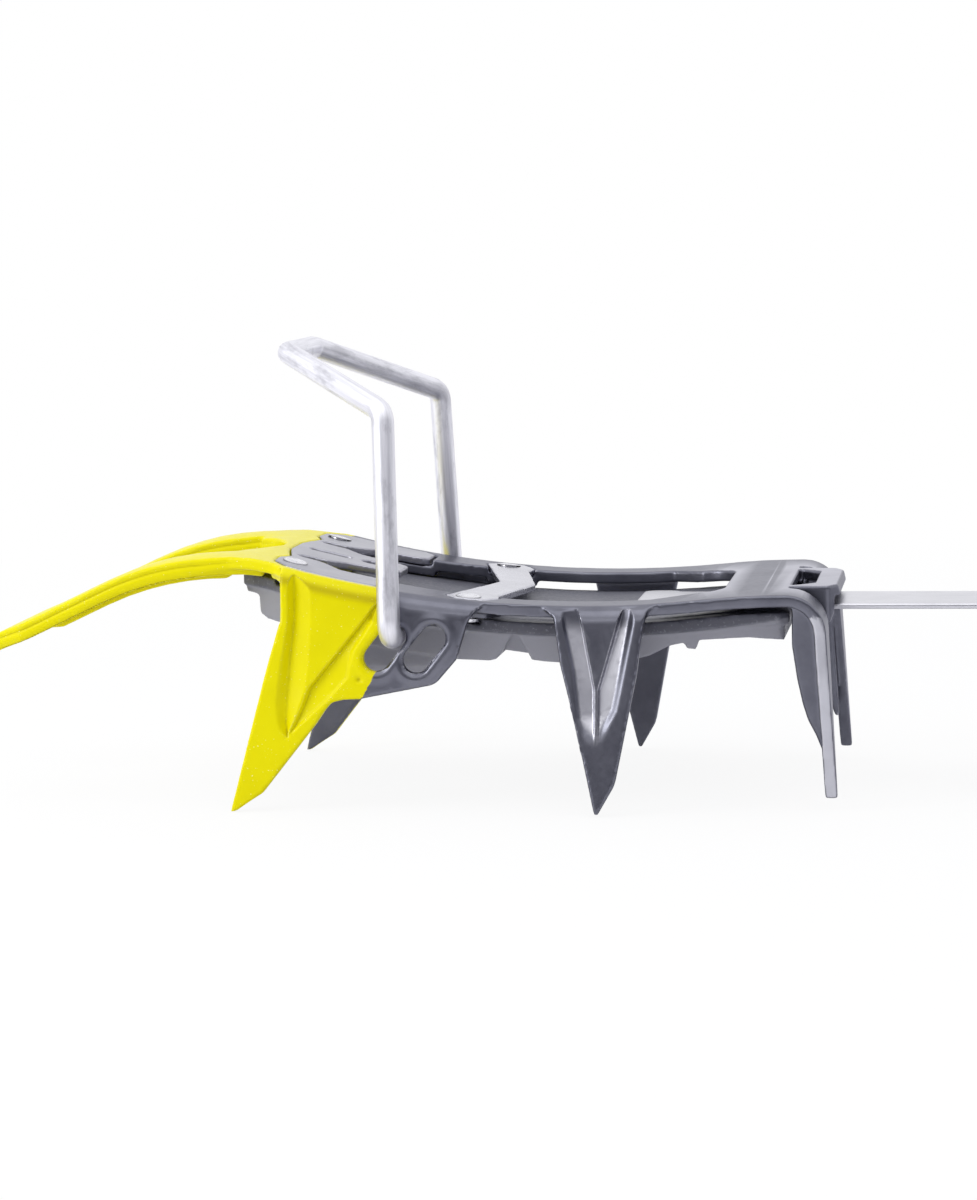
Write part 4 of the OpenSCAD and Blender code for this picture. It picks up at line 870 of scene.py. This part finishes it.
# Screw block: turned and milled brass, cross-drilled for the bail's crossbar and
# threaded for the screw.
block = rounded_form("milled_screw_block", "screw_block", 0.25, 1, 40000)
mark_wear_and_painted_light(block)
smooth_faces(block)
block_brass = steel("block_brass", (0.5, 0.34, 0.13), (0.62, 0.43, 0.17), (0.8, 0.62, 0.32),
                    rough=(0.22, 0.36), grain=(1, 1, 0.1))
dress(block, block_brass, "screw_block", "screw_block")

# Adjusting screw: a plated 5 mm screw with a 2 mm pitch, which lifts the lever along
# its block as the thumbwheel turns.
LEVER = Matrix.Translation((CROSSBAR_X * MM, 0, CROSSBAR_Z * MM))
LEVER = LEVER @ Matrix.Rotation(math.radians(-8), 4, "Y")
AXIS = Matrix.Translation((6.95 * MM, 0, 0))


def wrapped(name, radius_at, low, high, around, rows):
    """A closed round piece whose radius, in mm, follows the angle and the height."""
    bpy.ops.object.select_all(action="DESELECT")
    bpy.ops.mesh.primitive_grid_add(x_subdivisions=around, y_subdivisions=rows, size=1)
    piece = bpy.context.object
    piece.name = name
    flat = np.empty(len(piece.data.vertices) * 3)
    piece.data.vertices.foreach_get("co", flat)
    u, v = flat.reshape(-1, 3)[:, 0] + 0.5, flat.reshape(-1, 3)[:, 1] + 0.5
    angle, height = 2 * np.pi * u, low + (high - low) * v
    radius = radius_at(angle, height)
    move_points(piece, np.stack([radius * np.cos(angle), radius * np.sin(angle), height], 1))
    bpy.ops.object.mode_set(mode="EDIT")
    bpy.ops.mesh.select_all(action="SELECT")
    bpy.ops.mesh.remove_doubles(threshold=1e-6)
    bpy.ops.mesh.fill_holes(sides=0)
    bpy.ops.mesh.select_all(action="SELECT")
    bpy.ops.mesh.normals_make_consistent(inside=False)
    bpy.ops.object.mode_set(mode="OBJECT")
    return piece


def thread(angle, height):
    """Radius of the screw: a rounded thread between plain chamfered ends."""
    turn = (height / 2.0 - angle / (2 * np.pi)) % 1.0
    cut = 0.5 * (1 - np.abs(2 * turn - 1)) ** 0.8
    cut *= ramp(height, -11, -10) * (1 - ramp(height, 9.2, 10.2))
    return 2.5 - cut - 0.4 * ramp(-height, 11.3, 11.8) - 0.4 * ramp(height, 18.3, 18.8)


screw = wrapped("adjusting_screw_thread", thread, -11.8, 18.8, 48, 300)
screw.data.transform(LEVER @ AXIS)
smooth_by_angle(screw, 50)
dress(screw, plated_steel, "adjusting_screw", "adjuster")


# Thumbwheel: moulded hard plastic, fluted for the thumb and pressed on the screw.
def fluted(angle, height):
    turn = (angle / (2 * np.pi) * 18) % 1.0
    across = np.abs(turn - 0.5) * 2 * np.pi * 7.5 / 18
    flute = np.sqrt(np.clip(0.9**2 - across**2, 0, None)) * 0.5
    edge_of = ramp(-height, -11.6, -11.1) + ramp(height, 15.0, 15.5)
    return 7.48 - flute - 0.45 * edge_of


wheel = wrapped("fluted_thumbwheel", fluted, 11.1, 15.5, 360, 14)
wheel.data.transform(LEVER @ AXIS)
smooth_by_angle(wheel, 50)
mark_wear_and_painted_light(wheel)
hard_plastic = moulded("hard_lever_plastic", (0.028, 0.028, 0.033), (0.042, 0.042, 0.05),
                       (0.12, 0.12, 0.14), rough=(0.34, 0.46), grain=1200)
dress(wheel, hard_plastic, "thumbwheel", "adjuster")

# Heel lever: glass-filled plastic, moulded in one piece round the block's window, with
# grip ribs across the back of its handle.
lever = rounded_form("moulded_heel_lever", "heel_lever", 0.38, 2, 120000)
into = np.array((LEVER.inverted()).to_3x3())
co, n = points_of(lever), normals_of(lever)
local = (co - np.array([CROSSBAR_X, 0, CROSSBAR_Z])) @ into.T
turned_n = n @ into.T
ribs = 0.5 - 0.5 * np.cos(2 * np.pi * (local[:, 2] - 22) / 2.6)
band_of = ramp(local[:, 2], 22, 22.6) * (1 - ramp(local[:, 2], 34.4, 35))
band_of = band_of * ramp(turned_n[:, 0], 0.5, 0.8) * (1 - ramp(np.abs(local[:, 1]), 8.2, 9))
co = co - (turned_n * (0.6 * ribs * band_of)[:, None]) @ into
move_points(lever, co)
mark_wear_and_painted_light(lever)
smooth_faces(lever)
dress(lever, hard_plastic, "heel_lever", "heel_lever")

# Welt hook: 2 mm steel sheet folded to catch the boot's heel welt, held under the
# lever by two small rivets.
hook = rounded_form("folded_welt_hook", "welt_hook", 0.25, 1, 30000)
mark_wear_and_painted_light(hook)
smooth_faces(hook)
dress(hook, sleeve_steel, "welt_hook", "heel_lever")
lever_foot, rivet_x, rivet_y = -13.3, 3, 11
small = [(2.1, -3.2), (2.5, -3.12), (2.6, -2.95), (2.6, -2.3), (2.5, -2.2), (1.5, -2.2),
         (1.5, 5.3), (1.3, 5.5)]
first = turned("hook_rivet_near", [(r, lever_foot + h) for r, h in small], 32)
smooth_by_angle(first, 50)
second = copy_of(first, "hook_rivet_far",
                 LEVER @ Matrix.Translation((rivet_x * MM, rivet_y * MM, 0)))
first.data.transform(LEVER @ Matrix.Translation((rivet_x * MM, -rivet_y * MM, 0)))
for piece in (first, second):
    dress(piece, plated_steel, "hook_rivets", "heel_lever")
